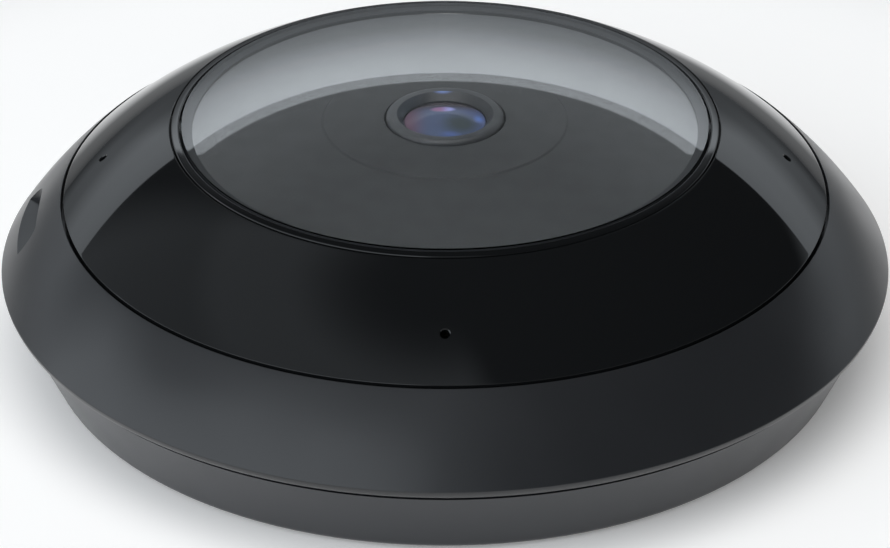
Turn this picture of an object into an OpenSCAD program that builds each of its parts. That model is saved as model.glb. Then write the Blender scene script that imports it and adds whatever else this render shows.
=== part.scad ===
// Round ceiling camera with a fixed fisheye lens under a shallow clear window.
// It lies on its ceiling bracket with the lens up. The bracket's back is at z = 0, the lens axis is Z.

/* [Housing] */
// Radius at the widest point, the housing's rounded lip
housing_r = 79; // [78.6:0.1:82]
// How far the housing's slope draws in, from the lip to its top edge
slope_run = 11.1; // [10:0.1:11.6]
// Height of the housing's slope
slope_h = 13; // [12.6:0.1:15]
// Height of the rounded lip, from the shadow gap to the widest point
lip_h = 2.3; // [2:0.1:3]
// Wall of the housing, measured level
housing_wall = 2.9; // [2.4:0.1:3.2]
// How much the housing's slope swells beyond a straight cone
slope_swell = 0.5; // [0.3:0.1:0.8]

/* [Base] */
// Height of the base's top edge above the ceiling
base_h = 13.8; // [13.4:0.1:15]
// How far the base's top edge stands in from the lip
base_inset = 2; // [1.6:0.1:2.4]
// How far the base narrows from its top edge to its foot
base_taper = 6.1; // [5:0.1:6.4]
// Wall of the base, measured level
base_wall = 2.6; // [2:0.1:3]
// Thickness of the base's floor
floor_t = 1.8; // [1.6:0.1:2.2]
// Height of the shadow gap between base and housing
shadow_gap = 0.4; // [0.3:0.05:0.7]

/* [Faceplate] */
// How far the black faceplate draws in from its rim to the window's trim ring
plate_run = 19.1; // [18.8:0.1:20]
// Height of the faceplate's slope
plate_h = 12.9; // [12.6:0.1:13.6]
// Wall of the faceplate, measured square to its slope
plate_wall = 2.2; // [1.8:0.1:2.4]
// How much the faceplate's slope swells beyond a straight cone
plate_swell = 0.8; // [0.5:0.1:1]
// Depth of the faceplate's skirt inside the housing
skirt_h = 2.8; // [2.5:0.1:3]
// Radius of each microphone pinhole
pinhole_r = 0.8; // [0.5:0.1:1]
// Number of microphones
mic_count = 4; // [2:1:6]

/* [Window] */
// Rise of the clear window's dome above its rim
dome_rise = 3.3; // [2.8:0.1:3.8]
// Thickness of the clear window
window_t = 3; // [2.6:0.1:3.2]
// Width of the trim ring round the window
bezel_w = 1.5; // [1.2:0.1:1.8]
// Width of the ledge that the window rests on
ledge_w = 1.8; // [1.4:0.1:2.2]
// Thickness of the window's gasket
gasket_t = 0.8; // [0.5:0.1:1]

/* [Lens] */
// Outer radius of the ring round the lens
ring_r = 10.3; // [10.1:0.1:11]
// Radius of the ring's opening at its top
ring_opening_r = 8.4; // [8.1:0.1:8.8]
// Radius of the glass that shows inside the ring
glass_r = 7.3; // [7:0.1:7.6]
// Gap between the top of the lens ring and the inside of the window
lens_gap = 1.5; // [1.2:0.1:1.8]
// Radius of the raised disc of the mask plate
disc_r = 21.2; // [20:0.1:23]

/* [Bracket] */
// How far the ceiling bracket's rim stands in from the base's foot
bracket_inset = 13.4; // [12.9:0.1:13.9]
// Thickness of the bracket's plate
bracket_t = 1.8; // [1.5:0.1:2]
// Height of the bracket's rim and of the top of its lugs
rim_h = 4.2; // [4:0.05:4.4]
// Thickness of a bayonet lug
lug_t = 1.4; // [1.2:0.1:1.5]
// Radius of the cable hole
cable_hole_r = 15; // [13:0.1:17]
// How far the ceiling screws stand in from the bracket's rim
screw_inset = 13.05; // [12:0.05:14.5]
// Radius of a ceiling screw's hole
screw_hole_r = 2.2; // [2:0.1:2.6]
// Spacing of the two screws for a round wall box
box_screw_gap = 60; // [58:0.1:62]

/* [Thumb notch] */
// Half the width of the notch in the housing's side
notch_half_w = 10; // [8:0.1:11]
// Depth of the notch, from the widest point to its inner wall
notch_depth = 6.7; // [6:0.1:7]
// Corner radius of the notch
notch_corner_r = 3; // [2:0.1:5]
// Height of the notch's floor above the widest point
notch_floor_h = 3.7; // [3.2:0.1:4.5]

/* [Hidden] */

// Smoothness of round shapes, of the nearly flat dome, and the flats along a gentle arc
$fn = 96;
dome_fn = 256;
arc_steps = 8;
// How far a cut runs past the solid it cuts
over = 0.6;

// Heights of the shells, from the ceiling up
lip_z = base_h + shadow_gap;
wide_z = lip_z + lip_h;
slope_z = wide_z + slope_h;
plate_step = 0.2;
plate_z = slope_z + plate_step;
plate_top_z = plate_z + plate_h;
window_step = 0.6;
window_z = plate_top_z + window_step;
apex_z = window_z + dome_rise;

// Radii of the shells
base_top_r = housing_r - base_inset;
foot_r = base_top_r - base_taper;
slope_r = housing_r - slope_run;
plate_gap = 0.25;
plate_r = slope_r - 2 * plate_gap;
plate_top_r = plate_r - plate_run;
bezel_r = plate_top_r - plate_gap;
bezel_in_r = bezel_r - bezel_w;
window_gap = 0.35;
window_r = bezel_in_r - window_gap;
ledge_r = bezel_in_r - ledge_w;

// Bracket
bracket_r = foot_r - bracket_inset;
screw_circle_r = bracket_r - screw_inset;
rim_wall = 1.8;
lug_count = 3;
lug_reach = 4.5;
lug_angle = 24;
lug_drop = 0.2;
lug_z = rim_h - lug_drop - lug_t;
lug_r = bracket_r + lug_reach;
lug_turn = 30;
keeper_angle = 18;
stop_angle = 2;
stop_turn = -10.6;
stop_inset = 0.4;
stop_z = 0.5;
collar_w = 2;
collar_h = 1;
countersink_r = 4.2;
countersink_h = 1.2;
stiffener_inset = 6;
stiffener_r = bracket_r - stiffener_inset;
stiffener_w = 1.5;
stiffener_h = 0.8;

// Base
foot_lift = 0.3;
foot_round_r = 1.5;
floor_gap = 0.6;
floor_z = rim_h + floor_gap;
floor_top_z = floor_z + floor_t;
spigot_h = 2.6;
spigot_t = 2;
spigot_inset = 3.5;
spigot_r = base_top_r - spigot_inset;
shelf_t = 2.2;
keeper_gap = 0.3;
keeper_t = 1.4;
keeper_tip_gap = 0.6;
keeper_wall_r = lug_r + keeper_tip_gap;
keeper_wall_t = 1.8;
keeper_z = lug_z - keeper_gap - keeper_t;
rib_count = 18;
rib_t = 1.4;
rib_z = 1.5;
rib_run_in = 0.9;

// Seal between base and housing
seal_t = 1.8;
seal_h = 1.6;
seal_gap = 0.25;
seal_r = spigot_r + seal_gap + seal_t;
seal_flange_t = 1.6;
flange_gap = 0.3;

// Housing
lip_in = 1.6;
lip_swell = 0.45;
seat_z = plate_z - skirt_h;
shelf_reach = 9.4;
shelf_in_r = plate_r - shelf_reach;
ledge_t = 2;
notch_x = housing_r - notch_depth;
notch_y = 1.2;
notch_wall = 2;

// Faceplate and window
rise_share = plate_h / plate_run;
plate_tilt = atan(rise_share);
bezel_depth = 1.6;
bezel_proud = 0.4;
bezel_round = 0.5;
bezel_seat_z = plate_top_z - bezel_depth;
gasket_z = window_z - window_t - gasket_t;
window_shelf_t = 1.5;
window_shelf_z = gasket_z - window_shelf_t;
shelf_web = 1.2;
dome_r = (window_r * window_r + dome_rise * dome_rise) / (2 * dome_rise);
mic_share = 0.387;

// Mask plate
mask_t = 1.5;
mask_drop = 0.7;
disc_drop = 1;
disc_step = 0.2;
mask_gap = 0.3;
mask_flange_w = 3;
ring_top_z = apex_z - window_t - lens_gap;

// Lens, measured down from its ring
ring_h = 2.3;
ring_round = 0.9;
ring_edge = 0.25;
glass_depth = 1.3;
glass_drop = 0.45;
glass_curve = 24;
glass_back_curve = 7.5;
glass_back_r = 5.6;
land_gap = 0.1;
lip_play = 0.05;
head_inset = 0.4;
head_r = ring_r - head_inset;
head_h = 5.9;
head_top_z = ring_top_z - ring_h;
head_z = head_top_z - head_h;
thread_r = 5.95;
thread_play = 0.05;
front_rim_r = 8.9;
front_seat = 1.9;
element_play = 0.05;
element_r = [5.2, 4.4, 3.8];
element_t = [2.4, 2.2, 1.7];
element_share = [0.47, 0.225, 0.045];
element_curve = [9, 11, 8];
rear_opening_r = 3.2;
stop_t = 0.3;
stop_hole_r = 1.2;

// Main board, on the posts of the base's floor
board_gap = 5.8;
board_t = 1.6;
board_edge_gap = 7.5;
board_r = spigot_r - spigot_t - board_edge_gap;
board_z = floor_top_z + board_gap;
board_top_z = board_z + board_t;
board_play = 0.6;
slip = 0.3;

// Chassis, hung under the housing's ledge
chassis_gap = 0.5;
chassis_t = 2;
chassis_hole_r = 25;
chassis_top_z = seat_z - ledge_t - chassis_gap;
chassis_z = chassis_top_z - chassis_t;
chassis_edge_gap = 3.85;
chassis_r = housing_in_r(chassis_top_z) - chassis_edge_gap;
fin_count = 24;
fin_t = 1.2;
fin_h = 3;
fin_gap = 2;
fin_r = chassis_hole_r + fin_gap;

// Ring board of the infrared lamps, inside the faceplate, and the wall that carries it
led_board_inset = 13.2;
led_board_w = 8.7;
led_board_r = plate_r - led_board_inset;
led_board_in_r = led_board_r - led_board_w;
led_wall_inset = 1.7;
led_wall_r = led_board_in_r + led_wall_inset;
led_wall_t = 2;
led_wall_h = 6.5;

// Sensor board and what stands on it
sensor_board_t = 1.2;
sensor_board_w = 40;
sensor_board_l = 48;
standoff_h = 0.7;
standoff_r = 2;
standoff_side_in = 3;
standoff_end_in = 2.5;
standoff_x = sensor_board_w / 2 - standoff_side_in;
standoff_y = sensor_board_l / 2 - standoff_end_in;
sensor_top_z = chassis_z - standoff_h;
sensor_board_z = sensor_top_z - sensor_board_t;
sensor_w = 10;
sensor_l = 9;
sensor_t = 1.2;
sensor_glass_t = 0.5;
sensor_rim = 0.7;

// Filter panes, their slider and its tray
filter_pitch = 5.6;
filter_w = 5;
filter_l = 5.8;
filter_t = 0.6;
filter_lift = 0.2;
slider_rim = 0.9;
slider_w = filter_w + filter_pitch + 2 * slider_rim;
slider_l = filter_l + 2 * slider_rim;
slider_t = 1;
slider_play = 0.1;
end_play = 0.2;
tray_end_wall = 2;
tray_side_wall = 1.6;
tray_w = slider_w + filter_pitch + 2 * (end_play + tray_end_wall);
tray_l = slider_l + 2 * (slider_play + tray_side_wall);
tray_h = 1.8;
tray_floor_t = 0.5;
tray_hole_r = 3.4;
tray_gap = 0.4;

// Lens holder, over the tray
holder_wall = 1.4;
holder_w = tray_w + 2 * (tray_gap + holder_wall);
holder_l = tray_l + 2 * (tray_gap + holder_wall);
holder_h = 3.9;
holder_cap_t = 0.9;
holder_tube_wall = 1.2;
holder_cap_z = sensor_top_z + holder_h;
holder_top_z = holder_cap_z + holder_cap_t;
barrel_gap = 0.4;
barrel_z = holder_top_z + barrel_gap;
barrel_l = head_top_z - barrel_z;

// Infrared filter switch: the arm swings by arm_swing degrees either way, and its pin moves the
// slider by one filter pitch
arm_swing = 20;
tray_z = holder_cap_z - tray_h;
slider_z = tray_z + tray_floor_t + slider_play;
arm_reach = filter_pitch / (2 * sin(arm_swing));
pivot_gap = 9.7;
pivot_y = holder_l / 2 + pivot_gap;
arm_t = 0.8;
arm_w = 1.8;
arm_gap = 0.3;
arm_pin_r = 0.5;
slot_play = 0.15;
tab_w = 3;
tab_t = 0.6;
tab_lift = 0.2;
tab_end = 0.5;
tab_z = slider_z + tab_lift;
arm_z = tab_z + tab_t + arm_gap;
slot_y0 = pivot_y - arm_reach - arm_pin_r - slot_play;
slot_y1 = pivot_y - arm_reach * cos(arm_swing) + arm_pin_r + slot_play;
tab_way = tab_w + filter_pitch + 2 * end_play;
shaft_r = 0.6;
pin_play = 0.05;
actuator_base_t = 0.8;
actuator_base_w = 10;
actuator_base_l = 9.4;
yoke_z = sensor_top_z + actuator_base_t;
yoke_t = 2;
yoke_wall = 1.4;
yoke_bar_w = 1.2;
magnet_r = 2.6;
magnet_h = 2.2;
magnet_gap = 0.4;
magnet_lift = 0.2;
coil_x = 9;
coil_r = 1.6;
coil_l = 6.6;
core_r = 0.8;

// Ribbon between the sensor board and the main board
ribbon_w = 12;
ribbon_t = 0.3;
ribbon_bend_r = 2;
ribbon_run = 1;
ribbon_share = 0.5;
connector_w = 16;
connector_l = 4;
connector_h = 1;
connector_in = 5;
connector_y = connector_in - sensor_board_l / 2;

// Network socket and the pocket that its plug lies in
jack_lift = 0.3;
jack_l = 20;
jack_w = 16.2;
jack_h = 11.6;
jack_z = floor_top_z + jack_lift;
jack_mouth_w = 11.8;
jack_mouth_h = 8.2;
jack_mouth_l = 14;
jack_sill = 1.4;
jack_ear_w = 2.3;
jack_ear_l = 8;
jack_ear_t = 0.8;
jack_ear_in = 6;
contact_count = 8;
contact_pitch = 1.02;
contact_w = 0.4;
contact_t = 0.3;
contact_l = 9;
contact_slope = 12;
contact_in = 3;
pocket_x = -15;
pocket_l = 37;
pocket_w = 20;
pocket_wall = 1.6;
pocket_headroom = 1;
pocket_roof_t = 2;
jack_x = pocket_x + pocket_l;
pocket_top_z = jack_z + jack_h - pocket_headroom;

// Fasteners
screw_r = 1.45;
screw_bore_r = 1.5;
screw_pass_r = 1.7;
screw_head_r = 2.8;
screw_head_h = 1.6;
recess_share = 0.5;
boss_r = 3.3;
boss_h = 3.6;
boss_cap = 0.4;
chassis_screw_in = 4.5;
chassis_screw_r = chassis_r - chassis_screw_in;
chassis_screw_l = 5;
post_r = 4.6;
post_in = 12;
post_x = (board_r - post_in) * cos(45);
post_head_in = 3.2;
post_head_z = floor_z + post_head_in;
post_play = 0.3;
chassis_post_r = 3.6;
base_screw_l = 12;
screw_end_gap = 0.6;
small_screw_r = 0.9;
small_bore_r = 0.95;
small_pass_r = 1.1;
small_head_r = 1.8;
small_head_h = 1.1;
small_screw_l = 3.3;

// Parts on the main board: places are shares of its radius
transformer_shares = [0.155, 0.53];
transformer_at = board_r * transformer_shares;
transformer_size = [14, 13, 7.2];
transformer_core_t = 3;
inductor_shares = [[0.5, -0.375], [0.28, -0.595]];
inductor_at = board_r * inductor_shares;
inductor_size = [10, 10, 4.5];
inductor_core_r = 3.6;
inductor_foot_t = 1;
capacitor_shares = [[-0.125, 0.72], [0.095, 0.78]];
capacitor_at = board_r * capacitor_shares;
capacitor_r = 4;
capacitor_h = 7.4;
capacitor_foot_t = 0.8;
processor_w = 16;
processor_t = 1.4;
pad_t = 1;
pad_w = 15;
pad_block_w = 18;
pad_block_gap = 5;
processor_y_share = 0.31;
processor_at = [-(sensor_board_w + pad_block_w) / 2 - pad_block_gap, board_r * processor_y_share];
memory_shares = [[-0.53, -0.125], [-0.53, -0.345]];
memory_at = board_r * memory_shares;
memory_size = [11, 9, 1.2];

// Reset button, pressed from the back, and its switch under the main board
button_shares = [-0.405, -0.375];
button_x = board_r * button_shares[0];
button_y = board_r * button_shares[1];
button_r = 2;
button_sink = 0.5;
button_flange_r = 3.2;
button_flange_t = 1;
button_rest = 0.1;
button_travel = 0.5;
button_play = 0.05;
plunger_r = 1.6;
switch_w = 6;
switch_h = 2.5;
switch_stub_h = 0.3;

// Infrared lamps and microphones
led_board_t = 1.6;
led_count = 12;
led_inset = 2.9;
led_circle_r = led_board_r - led_inset;
led_w = 3.5;
led_h = 1.6;
led_lens_r = 1.4;
led_lens_h = 0.5;
boot_r = 2.6;
boot_h = 2;
boot_gap = 0.2;
mic_w = 3.8;
mic_l = 3;
mic_h = 1.1;

// Points of a gentle arc from p to q that swells by s to the right of the way from p to q
function arc_points(p, q, s, n = arc_steps) =
    let (d = q - p, c = norm(d), r = c * c / (8 * s) + s / 2, t = asin(c / (2 * r)))
    let (side = [d[1], -d[0]] / c, along = d / c, centre = (p + q) / 2 - side * (r - s))
    [for (i = [0:n]) let (a = t * (2 * i / n - 1)) centre + r * (side * cos(a) + along * sin(a))];

// A quarter round from p to q is an arc that swells by this share of its radius
quarter_share = 1 - cos(45);

// Height of the arc of chord c and swell s over its chord, at a share of the way along it
function swell_at(c, s, share) =
    let (r = c * c / (8 * s) + s / 2)
    sqrt(r * r - pow(c * (share - 1 / 2), 2)) - (r - s);

// Depth of a ball of radius r below its top, at distance x from its axis
function sag(r, x) = r - sqrt(r * r - x * x);

// Outer radius of the base's wall, and inner radius of the housing's wall, at height z
function base_wall_r(z) = foot_r + base_taper * (z - foot_lift) / (base_h - foot_lift);
function housing_in_r(z) = housing_r - housing_wall - (z - wide_z) * slope_run / slope_h;

// Copies the children round the axis
module ring_of(count, first = 0) {
    for (i = [0:count - 1]) rotate([0, 0, first + i * 360 / count]) children();
}

// Copies the children at four corners
module at_corners(x, y) {
    for (sx = [-1, 1], sy = [-1, 1]) translate([sx * x, sy * y, 0]) children();
}

// A round hole through what stands between z and z + h
module bore(r, z, h) {
    translate([0, 0, z - over]) cylinder(r = r, h = h + 2 * over);
}

// A flat ring standing at z
module band(r_out, r_in, z, h) {
    difference() {
        translate([0, 0, z]) cylinder(r = r_out, h = h);
        bore(r_in, z, h);
    }
}

// A block centred over the origin, standing at z
module block(x, y, z, h) {
    translate([-x / 2, -y / 2, z]) cube([x, y, h]);
}

// A sector of a flat ring, centred on angle a, standing at z
module sector(r_out, r_in, angle, a, z, h) {
    translate([0, 0, z])
        rotate([0, 0, a - angle / 2])
            rotate_extrude(angle = angle)
                translate([r_in, 0]) square([r_out - r_in, h]);
}

// A screw driven upwards: its head hangs below z, its shank reaches l above
module screw(r, head_r, head_h, z, l) {
    difference() {
        union() {
            translate([0, 0, z - head_h]) cylinder(r = head_r, h = head_h);
            translate([0, 0, z]) cylinder(r = r, h = l);
        }
        translate([0, 0, z - head_h - over])
            cylinder(r = head_r * recess_share, h = head_h * recess_share + over, $fn = 6);
    }
}

// Countersunk hole in the bracket's plate
module ceiling_hole() {
    bore(screw_hole_r, 0, bracket_t);
    translate([0, 0, bracket_t - countersink_h])
        cylinder(r1 = screw_hole_r, r2 = countersink_r, h = countersink_h);
    translate([0, 0, bracket_t]) cylinder(r = countersink_r, h = over);
}

// Ceiling bracket: plate, collar round the cable hole, rim with bayonet lugs and their end stops
module mount_bracket() color("#b4b7ba") {
    collar_r = cable_hole_r + collar_w;
    stop_r = lug_r - stop_inset;
    difference() {
        union() {
            rotate_extrude() polygon([
                [cable_hole_r, 0], [bracket_r, 0], [bracket_r, rim_h], [bracket_r - rim_wall, rim_h],
                [bracket_r - rim_wall, bracket_t], [stiffener_r, bracket_t],
                [stiffener_r, bracket_t + stiffener_h], [stiffener_r - stiffener_w, bracket_t + stiffener_h],
                [stiffener_r - stiffener_w, bracket_t], [collar_r, bracket_t],
                [collar_r, bracket_t + collar_h], [cable_hole_r, bracket_t + collar_h]]);
            ring_of(lug_count, lug_turn) {
                sector(lug_r, bracket_r - rim_wall / 2, lug_angle, 0, lug_z, lug_t);
                sector(stop_r, bracket_r - rim_wall / 2, stop_angle, stop_turn, stop_z,
                       lug_z + lug_t / 2 - stop_z);
            }
        }
        ring_of(4, 45) translate([screw_circle_r, 0, 0]) ceiling_hole();
        for (s = [-1, 1]) translate([s * box_screw_gap / 2, 0, 0]) ceiling_hole();
    }
}

// Section of the base: rounded foot, tapered wall, spigot inside the housing, floor over the bracket
module base_section() {
    shelf_z = base_h - shelf_t;
    foot_out = [base_wall_r(foot_lift + foot_round_r), foot_lift + foot_round_r];
    polygon(concat(
        [[0, floor_z], [base_wall_r(floor_z) - base_wall, floor_z], [foot_r - base_wall, foot_lift]],
        arc_points([foot_r - foot_round_r, foot_lift], foot_out, foot_round_r * quarter_share),
        [[base_top_r, base_h], [spigot_r, base_h], [spigot_r, base_h + spigot_h],
         [spigot_r - spigot_t, base_h + spigot_h], [spigot_r - spigot_t, shelf_z],
         [base_wall_r(shelf_z) - base_wall, shelf_z],
         [base_wall_r(floor_top_z) - base_wall, floor_top_z], [0, floor_top_z]]));
}

// Base: shell with the way in to the plug, the posts for the main board, and keepers that hook over the lugs
module base_shell() color("#47494c") {
    difference() {
        union() {
            rotate_extrude() base_section();
            band(keeper_wall_r + keeper_wall_t, keeper_wall_r, keeper_z, floor_z - keeper_z + floor_t / 2);
            ring_of(lug_count, lug_turn)
                sector(keeper_wall_r + keeper_wall_t / 2, bracket_r + keeper_tip_gap, keeper_angle, 0,
                       keeper_z, keeper_t);
            ring_of(rib_count, 180 / rib_count)
                translate([keeper_wall_r + keeper_wall_t / 2, -rib_t / 2, rib_z])
                    cube([base_wall_r(rib_z) - keeper_wall_r - keeper_wall_t / 2 - rib_run_in, rib_t,
                          floor_z - rib_z + floor_t / 2]);
            at_corners(post_x, post_x) translate([0, 0, floor_z]) cylinder(r = post_r, h = board_z - floor_z);
        }
        translate([pocket_x + pocket_l / 2, 0, 0])
            block(pocket_l, pocket_w, floor_z - over, floor_t + 2 * over);
        at_corners(post_x, post_x) {
            bore(screw_head_r + post_play, floor_z, post_head_z - floor_z - over);
            bore(screw_pass_r, floor_z, board_z - floor_z);
        }
        translate([button_x, button_y, 0]) bore(button_r + button_play, floor_z, floor_t);
    }
}

// Plug cover: a lidded box, bonded to the base's floor over the plug pocket, open to the network socket
module plug_cover() color("#3a3c3f") {
    difference() {
        translate([pocket_x + pocket_l / 2, 0, 0])
            block(pocket_l + 2 * pocket_wall, pocket_w + 2 * pocket_wall, floor_top_z,
                  pocket_top_z + pocket_roof_t - floor_top_z);
        translate([pocket_x + pocket_l / 2, 0, 0])
            block(pocket_l, pocket_w, floor_top_z - over, pocket_top_z - floor_top_z + over);
        translate([jack_x - over, -jack_w / 2 - slip, floor_top_z - over])
            cube([pocket_wall + 2 * over, jack_w + 2 * slip, jack_z + jack_h + slip - floor_top_z + over]);
    }
}

// Rubber ring between the base and the housing
module housing_seal() color("#17181a") {
    band(seal_r, seal_r - seal_t, base_h, seal_h);
}

// Outline of the housing from its lower edge round the lip and up the slope
function housing_outline() = concat(
    arc_points([housing_r - lip_in, lip_z], [housing_r, wide_z], lip_swell),
    arc_points([housing_r, wide_z], [slope_r, slope_z], slope_swell));

// Section of the housing: lip, swelling slope, recess and ledge for the faceplate, flange over the seal
module housing_section() {
    flange_z = base_h + seal_h;
    flange_r = spigot_r + flange_gap;
    seal_room_r = seal_r + seal_gap;
    ledge_z = seat_z - ledge_t;
    polygon(concat(
        housing_outline(),
        [[plate_r + plate_gap, slope_z], [plate_r + plate_gap, seat_z], [shelf_in_r, seat_z],
         [shelf_in_r, ledge_z], [housing_in_r(ledge_z), ledge_z],
         [housing_in_r(flange_z + seal_flange_t), flange_z + seal_flange_t],
         [flange_r, flange_z + seal_flange_t], [flange_r, flange_z], [seal_room_r, flange_z],
         [seal_room_r, lip_z]]));
}

// Plan of the thumb notch, grown by g: a straight inner wall and two round corners
module notch_plan(g) {
    corner_x = notch_x + notch_corner_r;
    corner_y = notch_half_w - notch_corner_r;
    for (s = [-1, 1]) translate([-corner_x, notch_y + s * corner_y]) circle(r = notch_corner_r + g);
    translate([-housing_r - over, notch_y - notch_half_w - g])
        square([housing_r + over - corner_x, 2 * (notch_half_w + g)]);
    translate([-housing_r - over, notch_y - corner_y])
        square([housing_r + over - notch_x + g, 2 * corner_y]);
}

// Housing: the tapered ring that carries the faceplate, with a thumb notch in its side
module outer_housing() color("#3b3d40") {
    notch_z = wide_z + notch_floor_h;
    difference() {
        union() {
            rotate_extrude() housing_section();
            intersection() {
                rotate_extrude() polygon(concat(housing_outline(),
                    [[slope_r - over, slope_z], [slope_r - over, lip_z]]));
                translate([0, 0, notch_z - notch_wall]) linear_extrude(seat_z - notch_z + notch_wall)
                    notch_plan(notch_wall);
            }
            ring_of(4) translate([chassis_screw_r, 0, chassis_top_z]) cylinder(r = boss_r, h = boss_h);
        }
        translate([0, 0, notch_z]) linear_extrude(seat_z - notch_z) notch_plan(0);
        ring_of(4) translate([chassis_screw_r, 0, 0])
            translate([0, 0, chassis_top_z - over]) cylinder(r = screw_bore_r, h = boss_h - boss_cap + over);
    }
}

// Section of the faceplate: swelling slope, skirt, and the shelf and groove for window and trim ring
module plate_section() {
    out = [sin(plate_tilt), cos(plate_tilt)];
    low = [plate_r, plate_z];
    high = [plate_top_r, plate_top_z];
    in_low = low - plate_wall * out;
    in_high = high - plate_wall * out;
    difference() {
        union() {
            polygon(concat(arc_points(low, high, plate_swell),
                [for (i = [arc_steps:-1:0]) arc_points(in_low, in_high, plate_swell)[i]],
                [[in_low[0], seat_z], [plate_r, seat_z]]));
            translate([ledge_r, window_shelf_z])
                square([plate_top_r + shelf_web - ledge_r, bezel_seat_z - window_shelf_z]);
        }
        translate([0, gasket_z]) square([bezel_in_r, apex_z - gasket_z]);
        translate([0, bezel_seat_z]) square([plate_top_r, apex_z - bezel_seat_z]);
    }
}

// Puts the children on the faceplate's slope at each microphone, with Z square to the slope
module at_mics() {
    low = [plate_r, plate_z];
    high = [plate_top_r, plate_top_z];
    out = [sin(plate_tilt), cos(plate_tilt)];
    spot = low + mic_share * (high - low) + swell_at(norm(high - low), plate_swell, mic_share) * out;
    ring_of(mic_count, -90)
        translate([spot[0], 0, spot[1]]) rotate([0, plate_tilt, 0]) children();
}

// Black faceplate with its microphone pinholes
module faceplate() color("#141516") {
    difference() {
        rotate_extrude() plate_section();
        at_mics() bore(pinhole_r, -plate_wall - over, plate_wall + over);
    }
}

// Trim ring round the window
module window_bezel() color("#2a2b2d") {
    top_z = plate_top_z + bezel_proud;
    swell = bezel_round * quarter_share;
    rotate_extrude() polygon(concat(
        [[bezel_in_r, bezel_seat_z], [bezel_r, bezel_seat_z]],
        arc_points([bezel_r, top_z - bezel_round], [bezel_r - bezel_round, top_z], swell, 4),
        arc_points([bezel_in_r + bezel_round, top_z], [bezel_in_r, top_z - bezel_round], swell, 4)));
}

// Clear window: a shallow ball cap of even thickness
module window_dome() color([0.75, 0.8, 0.85, 0.35]) {
    rotate_extrude() difference() {
        intersection() {
            translate([0, window_z - window_t]) square([window_r, dome_rise + window_t]);
            translate([0, apex_z - dome_r]) circle(r = dome_r, $fn = dome_fn);
        }
        translate([0, apex_z - dome_r]) circle(r = dome_r - window_t, $fn = dome_fn);
    }
}

// Gasket between the window and its ledge
module window_gasket() color("#0e0e0f") {
    band(window_r, ledge_r + lip_play, gasket_z, gasket_t);
}

// Mask plate: raised disc round the lens, gentle slope, flange under the window's ledge
module mask_plate() color("#3f4143") {
    hole_r = ring_r + mask_gap;
    edge_r = ledge_r - mask_gap;
    top_z = ring_top_z - mask_drop;
    disc_z = ring_top_z - disc_drop;
    edge_z = gasket_z - mask_gap;
    flange_r = ledge_r + mask_flange_w;
    rotate_extrude() polygon([
        [hole_r, top_z - mask_t], [edge_r - mask_t, edge_z - mask_t],
        [edge_r - mask_t, window_shelf_z - mask_t], [flange_r, window_shelf_z - mask_t],
        [flange_r, window_shelf_z], [edge_r, window_shelf_z], [edge_r, edge_z],
        [disc_r + disc_step, disc_z - disc_step], [disc_r, disc_z], [hole_r, top_z]]);
}

// Heights at which the front glass is held
glass_top_z = ring_top_z - glass_drop;
glass_land_z = glass_top_z - sag(glass_curve, glass_r - land_gap);
front_seat_z = head_top_z - front_seat;

// Ring screwed over the front glass: rounded outside, coned inside
module lens_ring() color("#3c3e40") {
    rotate_extrude() polygon(concat(
        [[front_rim_r + element_play, head_top_z], [ring_r, head_top_z]],
        arc_points([ring_r, ring_top_z - ring_round], [ring_r - ring_round, ring_top_z],
                   ring_round * quarter_share, 4),
        [[ring_opening_r + ring_edge, ring_top_z], [ring_opening_r, ring_top_z - ring_edge],
         [glass_r, ring_top_z - glass_depth], [glass_r, glass_land_z + lip_play],
         [front_rim_r + element_play, glass_land_z + lip_play]]));
}

// Height of the seat of an inner lens in the barrel
function element_z(i) = barrel_z + element_share[i] * barrel_l;

// Barrel: wide head, threaded body, and stepped bores for the lenses
module lens_barrel() color("#1d1e1f") {
    difference() {
        union() {
            translate([0, 0, barrel_z]) cylinder(r = thread_r, h = barrel_l);
            translate([0, 0, head_z]) cylinder(r = head_r, h = head_h);
        }
        translate([0, 0, front_seat_z]) cylinder(r = front_rim_r + element_play, h = front_seat + over);
        translate([0, 0, element_z(0)])
            cylinder(r = element_r[0] + element_play, h = front_seat_z - element_z(0) + over);
        translate([0, 0, element_z(1)])
            cylinder(r = element_r[1] + element_play, h = element_z(0) - element_z(1) + over);
        translate([0, 0, element_z(2)])
            cylinder(r = element_r[2] + element_play, h = element_z(1) - element_z(2) + over);
        bore(rear_opening_r, barrel_z, element_z(2) - barrel_z);
    }
}

// Front glass: a strongly hollowed meniscus
module front_lens() color([0.45, 0.5, 0.75, 0.5]) {
    rotate_extrude() difference() {
        union() {
            translate([0, front_seat_z]) square([front_rim_r, glass_land_z - front_seat_z]);
            intersection() {
                translate([0, front_seat_z]) square([glass_r - land_gap, glass_top_z - front_seat_z]);
                translate([0, glass_top_z - glass_curve]) circle(r = glass_curve);
            }
        }
        translate([0, front_seat_z - glass_back_curve + sag(glass_back_curve, glass_back_r)])
            circle(r = glass_back_curve);
    }
}

// Second lens: hollow on both sides
module second_lens() color([0.6, 0.75, 0.7, 0.5]) {
    hollow = sag(element_curve[0], element_r[0] * 3 / 4);
    rotate_extrude() difference() {
        translate([0, element_z(0)]) square([element_r[0], element_t[0]]);
        translate([0, element_z(0) + element_t[0] + element_curve[0] - hollow]) circle(r = element_curve[0]);
        translate([0, element_z(0) - 2 * element_curve[0] + hollow / 2]) circle(r = 2 * element_curve[0]);
    }
}

// Thin ring that limits the light, on top of the third lens
module aperture_stop() color("#0b0b0c") {
    band(element_r[1], stop_hole_r, element_z(1) + element_t[1], stop_t);
}

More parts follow.
